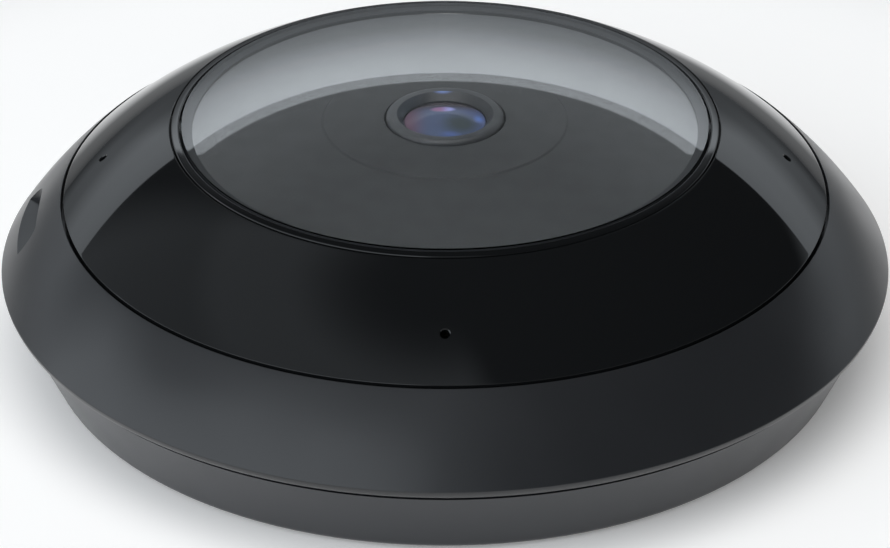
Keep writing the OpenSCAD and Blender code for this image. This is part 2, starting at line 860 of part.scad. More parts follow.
// Third and rear lenses: domed on top
module domed_lens(i) {
    rotate_extrude() intersection() {
        translate([0, element_z(i)]) square([element_r[i], element_t[i]]);
        translate([0, element_z(i) + element_t[i] - element_curve[i]]) circle(r = element_curve[i]);
    }
}

module third_lens() color([0.6, 0.65, 0.8, 0.5]) domed_lens(1);

module rear_lens() color([0.6, 0.65, 0.8, 0.5]) domed_lens(2);

// Lens holder: a hollow foot over the sensor and the filter tray, and a tube that the barrel screws into
module lens_holder() color("#1b1c1d") {
    tube_r = thread_r + thread_play;
    difference() {
        union() {
            block(holder_w, holder_l, sensor_top_z, holder_h + holder_cap_t);
            translate([0, 0, holder_cap_z])
                cylinder(r = tube_r + holder_tube_wall, h = head_z - slip - holder_cap_z);
        }
        block(holder_w - 2 * holder_wall, holder_l - 2 * holder_wall, sensor_top_z - over, holder_h + over);
        bore(tube_r, holder_cap_z, head_z - holder_cap_z);
        translate([-tab_way / 2, 0, tab_z - slider_play]) cube([tab_way, holder_l, holder_cap_z - tab_z]);
    }
}

// Tray that the filter slider runs in
module ir_cut_frame() color("#232425") {
    run_w = slider_w + filter_pitch + 2 * end_play;
    difference() {
        block(tray_w, tray_l, tray_z, tray_h);
        block(run_w, slider_l + 2 * slider_play, tray_z + tray_floor_t, tray_h);
        bore(tray_hole_r, tray_z, tray_floor_t);
        translate([-tab_way / 2, 0, tab_z - slider_play]) cube([tab_way, tray_l, tray_h]);
    }
}

// Slider with two windows and a slotted tab for the arm's pin
module ir_cut_slider() color("#2b2c2e") {
    difference() {
        union() {
            translate([filter_pitch / 2, 0, 0]) block(slider_w, slider_l, slider_z, slider_t);
            translate([(filter_pitch - tab_w) / 2, 0, tab_z]) cube([tab_w, slot_y1 + tab_end, tab_t]);
        }
        for (x = [0, filter_pitch]) translate([x, 0, 0])
            block(filter_w, filter_l, slider_z - over, slider_t + 2 * over);
        translate([filter_pitch / 2 - arm_pin_r - slot_play, slot_y0, tab_z - over])
            cube([2 * (arm_pin_r + slot_play), slot_y1 - slot_y0, tab_t + 2 * over]);
    }
}

// Filter panes: the one in use by day stands on the lens axis
module ir_cut_filter() color([0.3, 0.75, 0.75, 0.5]) {
    block(filter_w, filter_l, slider_z + filter_lift, filter_t);
}

module clear_filter() color([0.8, 0.85, 0.85, 0.4]) {
    translate([filter_pitch, 0, 0]) block(filter_w, filter_l, slider_z + filter_lift, filter_t);
}

// Plastic foot of the actuator, with the bearing of its shaft
module actuator_base() color("#202122") {
    difference() {
        translate([0, pivot_y, 0]) block(actuator_base_w, actuator_base_l, sensor_top_z, actuator_base_t);
        translate([0, pivot_y, 0]) bore(shaft_r + pin_play, sensor_top_z, actuator_base_t);
    }
}

// Steel yoke: a ring round the magnet, two bars and the core of the coil
module actuator_yoke() color("#8d9093") {
    bar_y = coil_l / 2;
    difference() {
        union() {
            translate([0, pivot_y, yoke_z]) cylinder(r = magnet_r + magnet_gap + yoke_wall, h = yoke_t);
            for (y = [bar_y, -bar_y - yoke_bar_w]) translate([0, pivot_y + y, yoke_z])
                cube([coil_x + yoke_bar_w, yoke_bar_w, yoke_t]);
            translate([coil_x, pivot_y + bar_y + yoke_bar_w / 2, yoke_z + yoke_t / 2])
                rotate([90, 0, 0]) cylinder(r = core_r, h = coil_l + yoke_bar_w);
        }
        translate([0, pivot_y, 0]) bore(magnet_r + magnet_gap, yoke_z, yoke_t);
    }
}

// Copper coil round the yoke's core
module actuator_coil() color("#a5562c") {
    length = coil_l - 2 * pin_play;
    translate([coil_x, pivot_y + length / 2, yoke_z + yoke_t / 2]) rotate([90, 0, 0])
        band(coil_r, core_r + pin_play, 0, length);
}

// Arm on its shaft: it reaches over the slider's tab, and its pin stands in the slot
module actuator_arm() color("#d8d9da") {
    shaft_z = sensor_top_z + pin_play;
    translate([0, pivot_y, 0]) rotate([0, 0, arm_swing]) {
        translate([0, 0, shaft_z]) cylinder(r = shaft_r, h = arm_z + arm_t / 2 - shaft_z);
        translate([0, 0, arm_z]) cylinder(r = arm_w / 2, h = arm_t);
        translate([-arm_w / 2, -arm_reach, arm_z]) cube([arm_w, arm_reach, arm_t]);
        translate([0, -arm_reach, arm_z]) cylinder(r = arm_w / 2, h = arm_t);
        translate([0, -arm_reach, slider_z + slider_play]) cylinder(r = arm_pin_r, h = arm_z - slider_z);
    }
}

// Round magnet on the arm's shaft
module actuator_magnet() color("#6b6d70") {
    translate([0, pivot_y, 0]) band(magnet_r, shaft_r, yoke_z + magnet_lift, magnet_h);
}

// Small board that carries the sensor and the filter switch
module sensor_board() color("#1f4a33") {
    difference() {
        block(sensor_board_w, sensor_board_l, sensor_board_z, sensor_board_t);
        at_corners(standoff_x, standoff_y) bore(small_pass_r, sensor_board_z, sensor_board_t);
    }
}

// Image sensor: a package with a sunk well under its glass
module image_sensor() color("#3a3a40") {
    difference() {
        block(sensor_w, sensor_l, sensor_top_z, sensor_t);
        block(sensor_w - 4 * sensor_rim, sensor_l - 4 * sensor_rim, sensor_top_z + sensor_t / 2, sensor_t);
    }
}

module sensor_glass() color([0.7, 0.8, 0.85, 0.4]) {
    block(sensor_w - 2 * sensor_rim, sensor_l - 2 * sensor_rim, sensor_top_z + sensor_t, sensor_glass_t);
}

// Four small screws that hold the sensor board to the chassis
module sensor_screws() color("#a9acb0") {
    at_corners(standoff_x, standoff_y)
        screw(small_screw_r, small_head_r, small_head_h, sensor_board_z, small_screw_l);
}

// Ribbon: where it leaves the upper connector and where it enters the lower one
ribbon_top_y = connector_y - connector_l / 2;
ribbon_low_y = ribbon_top_y - 2 * (ribbon_run + ribbon_bend_r);
ribbon_top_z = sensor_board_z - connector_h * ribbon_share;
ribbon_low_z = board_top_z + connector_h * ribbon_share;

module sensor_connector() color("#d9d6cc") {
    translate([0, connector_y, 0]) block(connector_w, connector_l, sensor_board_z - connector_h, connector_h);
}

module board_connector() color("#d9d6cc") {
    translate([0, ribbon_low_y - connector_l / 2, 0])
        block(connector_w, connector_l, board_top_z, connector_h);
}

// Ribbon cable, folded down from the sensor board to the main board
module sensor_flex() color("#c77f2b") {
    bend_y = ribbon_top_y - ribbon_run;
    fold_y = bend_y - ribbon_bend_r;
    out_r = ribbon_bend_r + ribbon_t / 2;
    in_r = ribbon_bend_r - ribbon_t / 2;
    low_bend_z = ribbon_low_z + ribbon_bend_r;
    top_bend_z = ribbon_top_z - ribbon_bend_r;
    translate([-ribbon_w / 2, 0, 0]) rotate([90, 0, 90]) linear_extrude(ribbon_w) {
        translate([bend_y, ribbon_top_z - ribbon_t / 2]) square([ribbon_run, ribbon_t]);
        translate([bend_y, top_bend_z]) intersection() {
            difference() {
                circle(r = out_r);
                circle(r = in_r);
            }
            translate([-out_r, 0]) square([out_r, out_r]);
        }
        translate([fold_y - ribbon_t / 2, low_bend_z]) square([ribbon_t, top_bend_z - low_bend_z]);
        translate([fold_y - ribbon_bend_r, low_bend_z]) intersection() {
            difference() {
                circle(r = out_r);
                circle(r = in_r);
            }
            translate([0, -out_r]) square([out_r, out_r]);
        }
        translate([ribbon_low_y, ribbon_low_z - ribbon_t / 2]) square([ribbon_run, ribbon_t]);
    }
}

// Die-cast chassis: plate with fins, posts to the base, heat block, and the wall under the lamp board
module chassis() color("#9a9da1") {
    pad_z = board_top_z + processor_t + pad_t;
    difference() {
        union() {
            translate([0, 0, chassis_z]) cylinder(r = chassis_r, h = chassis_t);
            ring_of(fin_count, 180 / fin_count)
                translate([fin_r, -fin_t / 2, chassis_z + chassis_t / 2])
                    cube([led_wall_r - fin_r + led_wall_t / 2, fin_t, fin_h + chassis_t / 2]);
            band(led_wall_r + led_wall_t, led_wall_r, chassis_z + chassis_t / 2, led_wall_h + chassis_t / 2);
            at_corners(post_x, post_x) translate([0, 0, board_top_z])
                cylinder(r = chassis_post_r, h = chassis_top_z - board_top_z);
            at_corners(standoff_x, standoff_y) translate([0, 0, sensor_top_z])
                cylinder(r = standoff_r, h = chassis_top_z - sensor_top_z);
            translate([processor_at[0], processor_at[1], 0])
                block(pad_block_w, pad_block_w, pad_z, chassis_top_z - pad_z);
        }
        bore(chassis_hole_r, chassis_z, chassis_t);
        ring_of(4) translate([chassis_screw_r, 0, 0]) bore(screw_pass_r, chassis_z, chassis_t);
        at_corners(post_x, post_x) translate([0, 0, board_top_z - over])
            cylinder(r = screw_bore_r, h = post_head_z + base_screw_l + screw_end_gap - board_top_z + over);
        at_corners(standoff_x, standoff_y) translate([0, 0, sensor_top_z - over])
            cylinder(r = small_bore_r, h = sensor_board_z + small_screw_l + slip - sensor_top_z + over);
    }
}

// Four screws from the chassis into the housing's bosses
module chassis_screws() color("#a9acb0") {
    ring_of(4) translate([chassis_screw_r, 0, 0])
        screw(screw_r, screw_head_r, screw_head_h, chassis_z, chassis_screw_l);
}

// Main board: a disc cut out round the plug pocket and the network socket
module main_board() color("#1f4a33") {
    wall_room = pocket_wall + board_play;
    difference() {
        translate([0, 0, board_z]) cylinder(r = board_r, h = board_t);
        translate([pocket_x - wall_room, -pocket_w / 2 - wall_room, board_z - over])
            cube([pocket_l + 2 * wall_room, pocket_w + 2 * wall_room, board_t + 2 * over]);
        translate([jack_x, -jack_w / 2 - slip, board_z - over])
            cube([jack_l + slip, jack_w + 2 * slip, board_t + 2 * over]);
        at_corners(post_x, post_x) bore(screw_pass_r, board_z, board_t);
    }
}

// Network socket, let into the board, its mouth towards the pocket, an ear on each side
module network_jack() color("#9c9fa3") {
    difference() {
        union() {
            translate([jack_x + jack_l / 2, 0, 0]) block(jack_l, jack_w, jack_z, jack_h);
            translate([jack_x + jack_ear_in + jack_ear_l / 2, 0, 0])
                block(jack_ear_l, jack_w + 2 * jack_ear_w, board_top_z, jack_ear_t);
        }
        translate([jack_x - over, -jack_mouth_w / 2, jack_z + jack_sill])
            cube([jack_mouth_l + over, jack_mouth_w, jack_mouth_h]);
    }
}

// The socket's spring contacts, under the roof of its mouth
module jack_contacts() color("#c9a440") {
    roof_z = jack_z + jack_sill + jack_mouth_h;
    for (i = [0:contact_count - 1])
        translate([jack_x + contact_in, (i - (contact_count - 1) / 2) * contact_pitch - contact_w / 2,
                   roof_z - contact_t - pin_play])
            rotate([0, contact_slope, 0]) cube([contact_l, contact_w, contact_t]);
}

// Power parts on the main board
module power_transformer() color("#2a2422") {
    translate([transformer_at[0], transformer_at[1], 0]) {
        block(transformer_size[0], transformer_size[1], board_top_z, transformer_core_t);
        block(transformer_size[0] / 2, transformer_size[1], board_top_z, transformer_size[2]);
        block(transformer_size[0], transformer_size[1] / 2, board_top_z, transformer_size[2]);
    }
}

module power_inductors() color("#303236") {
    for (p = inductor_at) translate([p[0], p[1], 0]) {
        block(inductor_size[0], inductor_size[1], board_top_z, inductor_foot_t);
        translate([0, 0, board_top_z]) cylinder(r = inductor_core_r, h = inductor_size[2]);
        translate([0, 0, board_top_z + inductor_size[2] - inductor_foot_t])
            cylinder(r = inductor_size[0] / 2, h = inductor_foot_t);
    }
}

module capacitors() color("#44474b") {
    for (p = capacitor_at) translate([p[0], p[1], 0]) {
        block(2 * capacitor_r, 2 * capacitor_r, board_top_z, capacitor_foot_t);
        translate([0, 0, board_top_z]) cylinder(r = capacitor_r, h = capacitor_h);
    }
}

// Processor, its memory, and the soft pad that leads its heat to the chassis
module processor() color("#26272a") {
    translate([processor_at[0], processor_at[1], 0])
        block(processor_w, processor_w, board_top_z, processor_t);
}

module memory_chips() color("#26272a") {
    for (p = memory_at) translate([p[0], p[1], 0])
        block(memory_size[0], memory_size[1], board_top_z, memory_size[2]);
}

module thermal_pad() color("#8fa3b3") {
    translate([processor_at[0], processor_at[1], 0]) block(pad_w, pad_w, board_top_z + processor_t, pad_t);
}

// Four long screws from the back through base and board into the chassis posts
module base_screws() color("#a9acb0") {
    at_corners(post_x, post_x) screw(screw_r, screw_head_r, screw_head_h, post_head_z, base_screw_l);
}

// Reset button and the switch that it presses
switch_z = board_z - switch_h - switch_stub_h;

module reset_switch() color("#303236") {
    translate([button_x, button_y, 0]) {
        block(switch_w, switch_w, board_z - switch_h, switch_h);
        translate([0, 0, switch_z]) cylinder(r = plunger_r, h = switch_stub_h + switch_h / 2);
    }
}

module reset_button() color("#2b2c2e") {
    stem_z = floor_z + button_sink;
    flange_z = floor_top_z + button_rest;
    translate([button_x, button_y, 0]) {
        translate([0, 0, stem_z]) cylinder(r = button_r, h = flange_z - stem_z + button_flange_t / 2);
        translate([0, 0, flange_z]) cylinder(r = button_flange_r, h = button_flange_t);
        translate([0, 0, flange_z])
            cylinder(r = plunger_r, h = switch_z - button_travel - button_play - flange_z);
    }
}

// Infrared lamps on a ring board behind the faceplate
led_board_z = chassis_top_z + led_wall_h;

module led_board() color("#1f4a33") {
    band(led_board_r, led_board_in_r, led_board_z, led_board_t);
}

module ir_leds() color("#d4d0c4") {
    ring_of(led_count, 180 / led_count) translate([led_circle_r, 0, 0]) {
        block(led_w, led_w, led_board_z + led_board_t, led_h);
        translate([0, 0, led_board_z + led_board_t]) cylinder(r = led_lens_r, h = led_h + led_lens_h);
    }
}

// Microphones behind the pinholes, each in a rubber boot
module mic_boots() color("#161617") {
    at_mics() band(boot_r, pinhole_r, -plate_wall - boot_gap - boot_h, boot_h);
}

module microphones() color("#b3a063") {
    at_mics() block(mic_w, mic_l, -plate_wall - boot_gap - boot_h - mic_h, mic_h);
}

mount_bracket();
base_shell();
plug_cover();
housing_seal();
outer_housing();
faceplate();
window_bezel();
window_dome();
window_gasket();
mask_plate();
lens_ring();
lens_barrel();
front_lens();
second_lens();
aperture_stop();
third_lens();
rear_lens();
lens_holder();
ir_cut_frame();
ir_cut_slider();
ir_cut_filter();
clear_filter();
actuator_base();
actuator_yoke();
actuator_coil();
actuator_arm();
actuator_magnet();
sensor_board();
image_sensor();
sensor_glass();
sensor_screws();
sensor_connector();
board_connector();
sensor_flex();
chassis();
chassis_screws();
main_board();
network_jack();
jack_contacts();
power_transformer();
power_inductors();
capacitors();
processor();
memory_chips();
thermal_pad();
base_screws();
reset_switch();
reset_button();
led_board();
ir_leds();
microphones();
mic_boots();
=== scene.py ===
"""Looks of a round ceiling camera: a fixed fisheye lens under a shallow clear window, in a dark housing.

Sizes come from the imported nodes' boxes where they can, and else stand among the values below, in millimetres.
"""
import math

import bpy
import numpy as np
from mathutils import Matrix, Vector


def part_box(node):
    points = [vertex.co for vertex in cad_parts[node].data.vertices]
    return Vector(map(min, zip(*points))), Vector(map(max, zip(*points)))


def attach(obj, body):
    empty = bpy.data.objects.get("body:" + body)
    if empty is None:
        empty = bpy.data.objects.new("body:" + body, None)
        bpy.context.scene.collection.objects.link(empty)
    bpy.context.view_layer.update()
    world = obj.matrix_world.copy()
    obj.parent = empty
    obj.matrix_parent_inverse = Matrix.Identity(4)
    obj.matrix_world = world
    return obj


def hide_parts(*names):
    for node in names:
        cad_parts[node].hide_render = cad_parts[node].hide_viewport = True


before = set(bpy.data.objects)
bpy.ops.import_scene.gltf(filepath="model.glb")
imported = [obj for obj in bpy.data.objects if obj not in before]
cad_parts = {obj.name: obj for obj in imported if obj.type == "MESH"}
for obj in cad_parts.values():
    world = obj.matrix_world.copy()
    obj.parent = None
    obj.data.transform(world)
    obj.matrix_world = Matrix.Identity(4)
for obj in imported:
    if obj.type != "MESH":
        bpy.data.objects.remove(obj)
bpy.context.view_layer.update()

MM = 0.001
TURNS = 384
FILLET_STEPS = 8
SHARP_ANGLE = math.radians(28)
WELD = 1e-6
NOISE_LOW = 0.2
NOISE_HIGH = 0.8
SOFT_DETAIL = 0.0
GRAIN_DETAIL = 3.0
PATCH_DETAIL = 4.0


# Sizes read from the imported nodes, in millimetres

def reach(node):
    """Largest radius, lowest and highest place of a round node."""
    low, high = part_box(node)
    return high.x / MM, low.z / MM, high.z / MM


HOUSING_R, LIP_Z, SLOPE_Z = reach("outer_housing")
PLATE_R, SEAT_Z, PLATE_TOP_Z = reach("faceplate")
BEZEL_R, BEZEL_SEAT_Z, BEZEL_TOP_Z = reach("window_bezel")
WINDOW_R, WINDOW_LOW_Z, APEX_Z = reach("window_dome")
_, GASKET_Z, _ = reach("window_gasket")
MASK_FLANGE_R, _, MASK_TOP_Z = reach("mask_plate")
RING_R, HEAD_TOP_Z, RING_TOP_Z = reach("lens_ring")
GLASS_RIM_R, GLASS_SEAT_Z, GLASS_TOP_Z = reach("front_lens")
SECOND_R, SECOND_Z, SECOND_TOP_Z = reach("second_lens")

# Outer housing
LIP_H = 2.3
LIP_IN = 1.9
LIP_SWELL = 0.45
LIP_GAP = 0.24
LIP_STEPS = 7
SLOPE_RUN = 11.1
SLOPE_SWELL = 0.5
SLOPE_STEPS = 48
EDGE_ROUND = 0.35
RIM_ROUND = 0.09
LEDGE_ROUND = 0.2
SEAL_EDGE_ROUND = 0.1
HOUSING_WALL = 2.9
SHELF_R = 58.0
LEDGE_T = 2.0
FLANGE_IN_R = 73.8
FLANGE_Z = 15.4
FLANGE_T = 1.6
SEAL_ROOM_R = 75.8

# Thumb notch in the housing's side
NOTCH_X = 72.3
NOTCH_Y = 1.2
NOTCH_HALF_W = 10.0
NOTCH_CORNER_R = 3.0
NOTCH_CORNER_POINTS = 13
NOTCH_FLOOR_Z = 20.2
NOTCH_TILT = math.tan(math.radians(10))

# Faceplate
PLATE_TOP_R = 48.3
PLATE_Z = 29.7
PLATE_WALL = 2.2
PLATE_ROUND = 0.12
PLATE_TOP_ROUND = 0.15
PLATE_SWELL = 0.8
PLATE_STEPS = 56
PLATE_INSIDE_STEPS = 24
SHELF_WEB = 1.2
PINHOLE_R = 0.8
PINHOLE_DEPTH = 3.0
PINHOLE_SHARE = 0.387
PINHOLE_COUNT = 4
PINHOLE_TURNS = 48
CONE_W = 0.3
CONE_HALF_H = 0.15
CONE_STICK_OUT = 1.0

# Window and its trim ring
BEZEL_W = 1.5
BEZEL_ROUND = 0.3
BEZEL_FALL = 0.26
WINDOW_T = 3.0
WINDOW_BODY_T = 3.7
WINDOW_BACK_R = 312.0
WINDOW_STEP_R = 44.2
WINDOW_TOP_POINTS = 72
WINDOW_BACK_POINTS = 64
WINDOW_SEAT_POINTS = 6
INK_DROP = 0.3
INK_LAP = 0.02
LEDGE_R = 44.75
WINDOW_SHELF_Z = 37.9

# Mask plate
DISC_R = 21.2
DISC_STEP = 0.3
DISC_DROP = 0.3
DISC_ROUND = 0.1
MASK_EDGE_R = 44.45
MASK_EDGE_ROUND = 0.3
MASK_T = 1.5
MASK_HOLE_R = 10.6
MASK_HOLE_ROUND = 0.15

# Lens
RING_OPENING_R = 8.4
RING_EDGE = 0.25
RING_ROUND = 0.9
RING_STEP_R = 8.95
RING_LAND_RISE = 0.05
GLASS_R = 7.3
GLASS_DEPTH = 1.3
GLASS_CURVE = 24.0
GLASS_BACK_CURVE = 7.5
GLASS_BACK_R = 5.6
GLASS_LAND_GAP = 0.1
GLASS_TOP_POINTS = 48
GLASS_BACK_POINTS = 40
GLASS_TURNS = 192
SECOND_CURVE = 9.0
SECOND_HOLLOW_SHARE = 3 / 4
SECOND_POINTS = 32
SECOND_TURNS = 128


# Meshes

def arc(p, q, swell, steps):
    """Points of an arc from p to q, on a circle through both that rises by swell to the right of the way.

    The circle's radius is chord squared / (8 swell) + swell / 2.
    """
    p, q = np.array(p, float), np.array(q, float)
    chord = np.linalg.norm(q - p)
    radius = chord ** 2 / (8 * swell) + swell / 2
    half = math.asin(chord / (2 * radius))
    along = (q - p) / chord
    side = np.array([along[1], -along[0]])
    centre = (p + q) / 2 - side * (radius - swell)
    turn = np.linspace(-half, half, steps + 1)[:, None]
    return centre + radius * (side * np.cos(turn) + along * np.sin(turn))


def rounded(corners):
    """Outline whose corners (r, z, round) become arcs.

    Each arc touches both sides of its corner at round / tan(half the corner's angle) from it.
    """
    points = np.array([c[:2] for c in corners], float)
    before, after = np.roll(points, 1, 0), np.roll(points, -1, 0)
    outline = []
    for p, a, b, size in zip(points, before, after, [c[2] for c in corners]):
        if size <= 0:
            outline.append(p[None])
            continue
        u, v = (a - p) / np.linalg.norm(a - p), (b - p) / np.linalg.norm(b - p)
        half = math.acos(np.clip(u @ v, -1, 1)) / 2
        start, end = p + u * size / math.tan(half), p + v * size / math.tan(half)
        middle = p + (u + v) / np.linalg.norm(u + v) * size / math.sin(half)
        share = np.linspace(0, 1, FILLET_STEPS + 1)[:, None]
        arms = (start - middle) * (1 - share) + (end - middle) * share
        outline.append(middle + arms * size / np.linalg.norm(arms, axis=1)[:, None])
    return np.concatenate(outline)


def corners_of(points):
    """The points of an arc as corners that stay as they are."""
    return [(r, z, 0) for r, z in points]


def new_mesh(name, points, faces):
    """A smooth mesh object from points in millimetres, with edges sharper than the limit kept sharp."""
    mesh = bpy.data.meshes.new(name)
    mesh.from_pydata((np.asarray(points) * MM).tolist(), [], [list(f) for f in faces])
    mesh.validate()
    obj = bpy.data.objects.new(name, mesh)
    bpy.context.scene.collection.objects.link(obj)
    return shade(obj)


def shade(obj):
    """Smooth shading, with the edges that turn more than the limit kept sharp."""
    obj.data.polygons.foreach_set("use_smooth", np.ones(len(obj.data.polygons), bool))
    obj.data.set_sharp_from_angle(angle=SHARP_ANGLE)
    return obj


def revolve(name, outline):
    """A ring: the closed outline (r, z), anticlockwise with r to the right, carried round Z in equal turns.

    A point stands at (r cos angle, r sin angle, z).
    """
    outline = np.asarray(outline, float)
    angle = np.arange(TURNS) * 2 * math.pi / TURNS
    r, z = outline[:, 0], outline[:, 1]
    m = len(z)
    points = np.stack([np.outer(np.cos(angle), r), np.outer(np.sin(angle), r),
                       np.broadcast_to(z, (TURNS, m))], -1).reshape(-1, 3)
    i, j = np.meshgrid(np.arange(TURNS), np.arange(m), indexing="ij")
    i2, j2 = (i + 1) % TURNS, (j + 1) % m
    faces = np.stack([i * m + j, i2 * m + j, i2 * m + j2, i * m + j2], -1).reshape(-1, 4)
    return new_mesh(name, points, faces.tolist())


def revolve_solid(name, outline, turns):
    """A round solid: the outline starts and ends on the axis, where one point closes each pole with a fan.

    Between them a point stands at (r cos angle, r sin angle, z), as in a ring.
    """
    outline = np.asarray(outline, float)
    ring = outline[1:-1]
    angle = np.arange(turns) * 2 * math.pi / turns
    m = len(ring)
    points = np.stack([np.outer(np.cos(angle), ring[:, 0]), np.outer(np.sin(angle), ring[:, 0]),
                       np.broadcast_to(ring[:, 1], (turns, m))], -1).reshape(-1, 3)
    points = np.concatenate([points, [[0, 0, outline[0, 1]], [0, 0, outline[-1, 1]]]])
    first, last = turns * m, turns * m + 1
    i, j = np.meshgrid(np.arange(turns), np.arange(m - 1), indexing="ij")
    i2 = (i + 1) % turns
    quads = np.stack([i * m + j, i2 * m + j, i2 * m + j + 1, i * m + j + 1], -1).reshape(-1, 4).tolist()
    k = np.arange(turns)
    k2 = (k + 1) % turns
    low = np.stack([np.full(turns, first), k2 * m, k * m], -1).tolist()
    high = np.stack([np.full(turns, last), k * m + m - 1, k2 * m + m - 1], -1).tolist()
    return new_mesh(name, points, quads + low + high)


def prism(name, plan, low, high):
    """A straight solid: the plan (x, y), anticlockwise, carried from its low to its high places."""
    plan = np.asarray(plan, float)
    m = len(plan)
    points = np.concatenate([np.c_[plan, low], np.c_[plan, high]])
    i = np.arange(m)
    j = (i + 1) % m
    sides = np.stack([i, j, j + m, i + m], -1).tolist()
    return new_mesh(name, points, sides + [list(range(m))[::-1], list(range(m, 2 * m))])


def cut(obj, cutters):
    """Takes the cutters out of obj for good and drops them."""
    for cutter in cutters:
        taking = obj.modifiers.new("cut", "BOOLEAN")
        taking.operation = "DIFFERENCE"
        taking.solver = "EXACT"
        taking.object = cutter
    graph = bpy.context.evaluated_depsgraph_get()
    mesh = bpy.data.meshes.new_from_object(obj.evaluated_get(graph))
    obj.modifiers.clear()
    obj.data = mesh
    for cutter in cutters:
        bpy.data.objects.remove(cutter)
    return shade(obj)


def smooth_copy(node, name):
    """A copy of a node's mesh with its loose triangles joined, so that round walls shade as round."""
    obj = bpy.data.objects.new(name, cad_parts[node].data.copy())
    bpy.context.scene.collection.objects.link(obj)
    bpy.context.view_layer.objects.active = obj
    obj.data.materials.clear()
    weld = obj.modifiers.new("weld", "WELD")
    weld.merge_threshold = WELD
    graph = bpy.context.evaluated_depsgraph_get()
    obj.data = bpy.data.meshes.new_from_object(obj.evaluated_get(graph))
    obj.modifiers.clear()
    for layer in list(obj.data.attributes):
        if layer.name == "custom_normal":
            obj.data.attributes.remove(layer)
    return shade(obj)


def place(obj, node, material, body="camera_body"):
    """Puts obj in the place of its node, on its body and material."""
    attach(obj, body)
    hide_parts(node)
    obj.data.materials.clear()
    obj.data.materials.append(material)
    return obj


# Materials

def linear(colour):
    """Linear colour of an sRGB hex value."""
    v = np.array([int(colour[i:i + 2], 16) for i in (1, 3, 5)]) / 255
    return (*np.where(v <= 0.04045, v / 12.92, ((v + 0.055) / 1.055) ** 2.4).tolist(), 1.0)


class Term:
    """A value of a node tree as a term of a formula: each sign between two terms adds one node."""

    def __init__(self, tree, socket):
        self.tree = tree
        self.socket = socket

    def by(self, operation, other=0.0):
        """This term put together with another one, by the name of the operation."""
        return Term(self.tree, add(self.tree, "Math", {0: self, 1: other}, operation=operation).outputs[0])

    def __add__(self, other):
        return self.by("ADD", other)

    def __sub__(self, other):
        return self.by("SUBTRACT", other)

    def __rsub__(self, number):
        return Term(self.tree, add(self.tree, "Math", {0: number, 1: self}, operation="SUBTRACT").outputs[0])

    def __mul__(self, other):
        return self.by("MULTIPLY", other)

    def __truediv__(self, other):
        return self.by("DIVIDE", other)


def add(tree, kind, inputs=None, **settings):
    """Adds one node: settings are its own values, and inputs are values, or terms or sockets to link."""
    node = tree.nodes.new("ShaderNode" + kind)
    for key, value in settings.items():
        setattr(node, key, value)
    for key, value in (inputs or {}).items():
        if isinstance(value, Term):
            value = value.socket
        if isinstance(value, bpy.types.NodeSocket):
            tree.links.new(value, node.inputs[key])
        else:
            node.inputs[key].default_value = value
    return node


def step(value, low, high, top=1.0):
    """Goes smoothly from nothing to top as the value goes from low to high, where low may be the larger."""
    rise = {"Value": value, "From Min": low, "From Max": high, "To Min": 0.0, "To Max": top}
    if low > high:
        rise = {"Value": value, "From Min": high, "From Max": low, "To Min": top, "To Max": 0.0}
    ramp = add(value.tree, "MapRange", rise, interpolation_type="SMOOTHSTEP")
    return Term(value.tree, ramp.outputs["Result"])


def blend(share, one, other):
    """Colour between one and other: each a linear colour or a term."""
    return Term(share.tree, add(share.tree, "Mix", {0: share, 6: one, 7: other}, data_type="RGBA").outputs[2])


def length(x, y):
    """Length of a way x across and y along: the root of the sum of their squares."""
    return (x * x + y * y).by("SQRT")


def place_mm(tree):
    """Place on the object in millimetres: across, along, up, and the distance from the lens's axis."""
    where = add(tree, "TexCoord").outputs["Object"]
    scaled = add(tree, "VectorMath", {0: where, "Scale": 1 / MM}, operation="SCALE").outputs["Vector"]
    x, y, z = (Term(tree, socket) for socket in add(tree, "SeparateXYZ", {0: scaled}).outputs)
    return x, y, z, length(x, y)


def new_material(name, colour, **sockets):
    """A material with one Principled shader: its colour in hex, and its other sockets by name."""
    material = bpy.data.materials.new(name)
    material.use_nodes = True
    tree = material.node_tree
    tree.nodes.clear()
    shader = add(tree, "BsdfPrincipled", {"Base Color": linear(colour), **sockets})
    output = add(tree, "OutputMaterial")
    tree.links.new(shader.outputs[0], output.inputs["Surface"])
    return material, tree, shader


def object_noise(tree, size_mm, detail):
    """Noise on Object coordinates whose patches are about size_mm across, with detail finer layers on top."""
    where = add(tree, "TexCoord").outputs["Object"]
    noise = add(tree, "TexNoise", {"Vector": where, "Scale": 1 / (size_mm * MM), "Detail": detail})
    return Term(tree, noise.outputs["Fac"])


def grain(tree, shader, size_mm, depth_mm):
    """Fine bumps, size_mm across and depth_mm deep.

    Etched, blasted and moulded grain is really about 0.1 mm across. It is drawn two to five times as coarse,
    so that it shows.
    """
    height = object_noise(tree, size_mm, GRAIN_DETAIL)
    bump = add(tree, "Bump", {"Height": height, "Distance": depth_mm * MM})
    tree.links.new(bump.outputs["Normal"], shader.inputs["Normal"])


def vary(tree, shader, size_mm, low, high):
    """Lets the roughness wander from low to high in soft patches size_mm across."""
    rise = {"Value": object_noise(tree, size_mm, SOFT_DETAIL), "From Min": NOISE_LOW, "From Max": NOISE_HIGH,
            "To Min": low, "To Max": high}
    way = add(tree, "MapRange", rise, interpolation_type="SMOOTHSTEP")
    tree.links.new(way.outputs["Result"], shader.inputs["Roughness"])


def paint(shader, colour):
    """Gives the shader a colour that is a term."""
    colour.tree.links.new(colour.socket, shader.inputs["Base Color"])


def tint(tree, shader, size_mm, one, other):
    """Lets the colour wander between two hex values in patches size_mm across."""
    paint(shader, blend(object_noise(tree, size_mm, PATCH_DETAIL), linear(one), linear(other)))


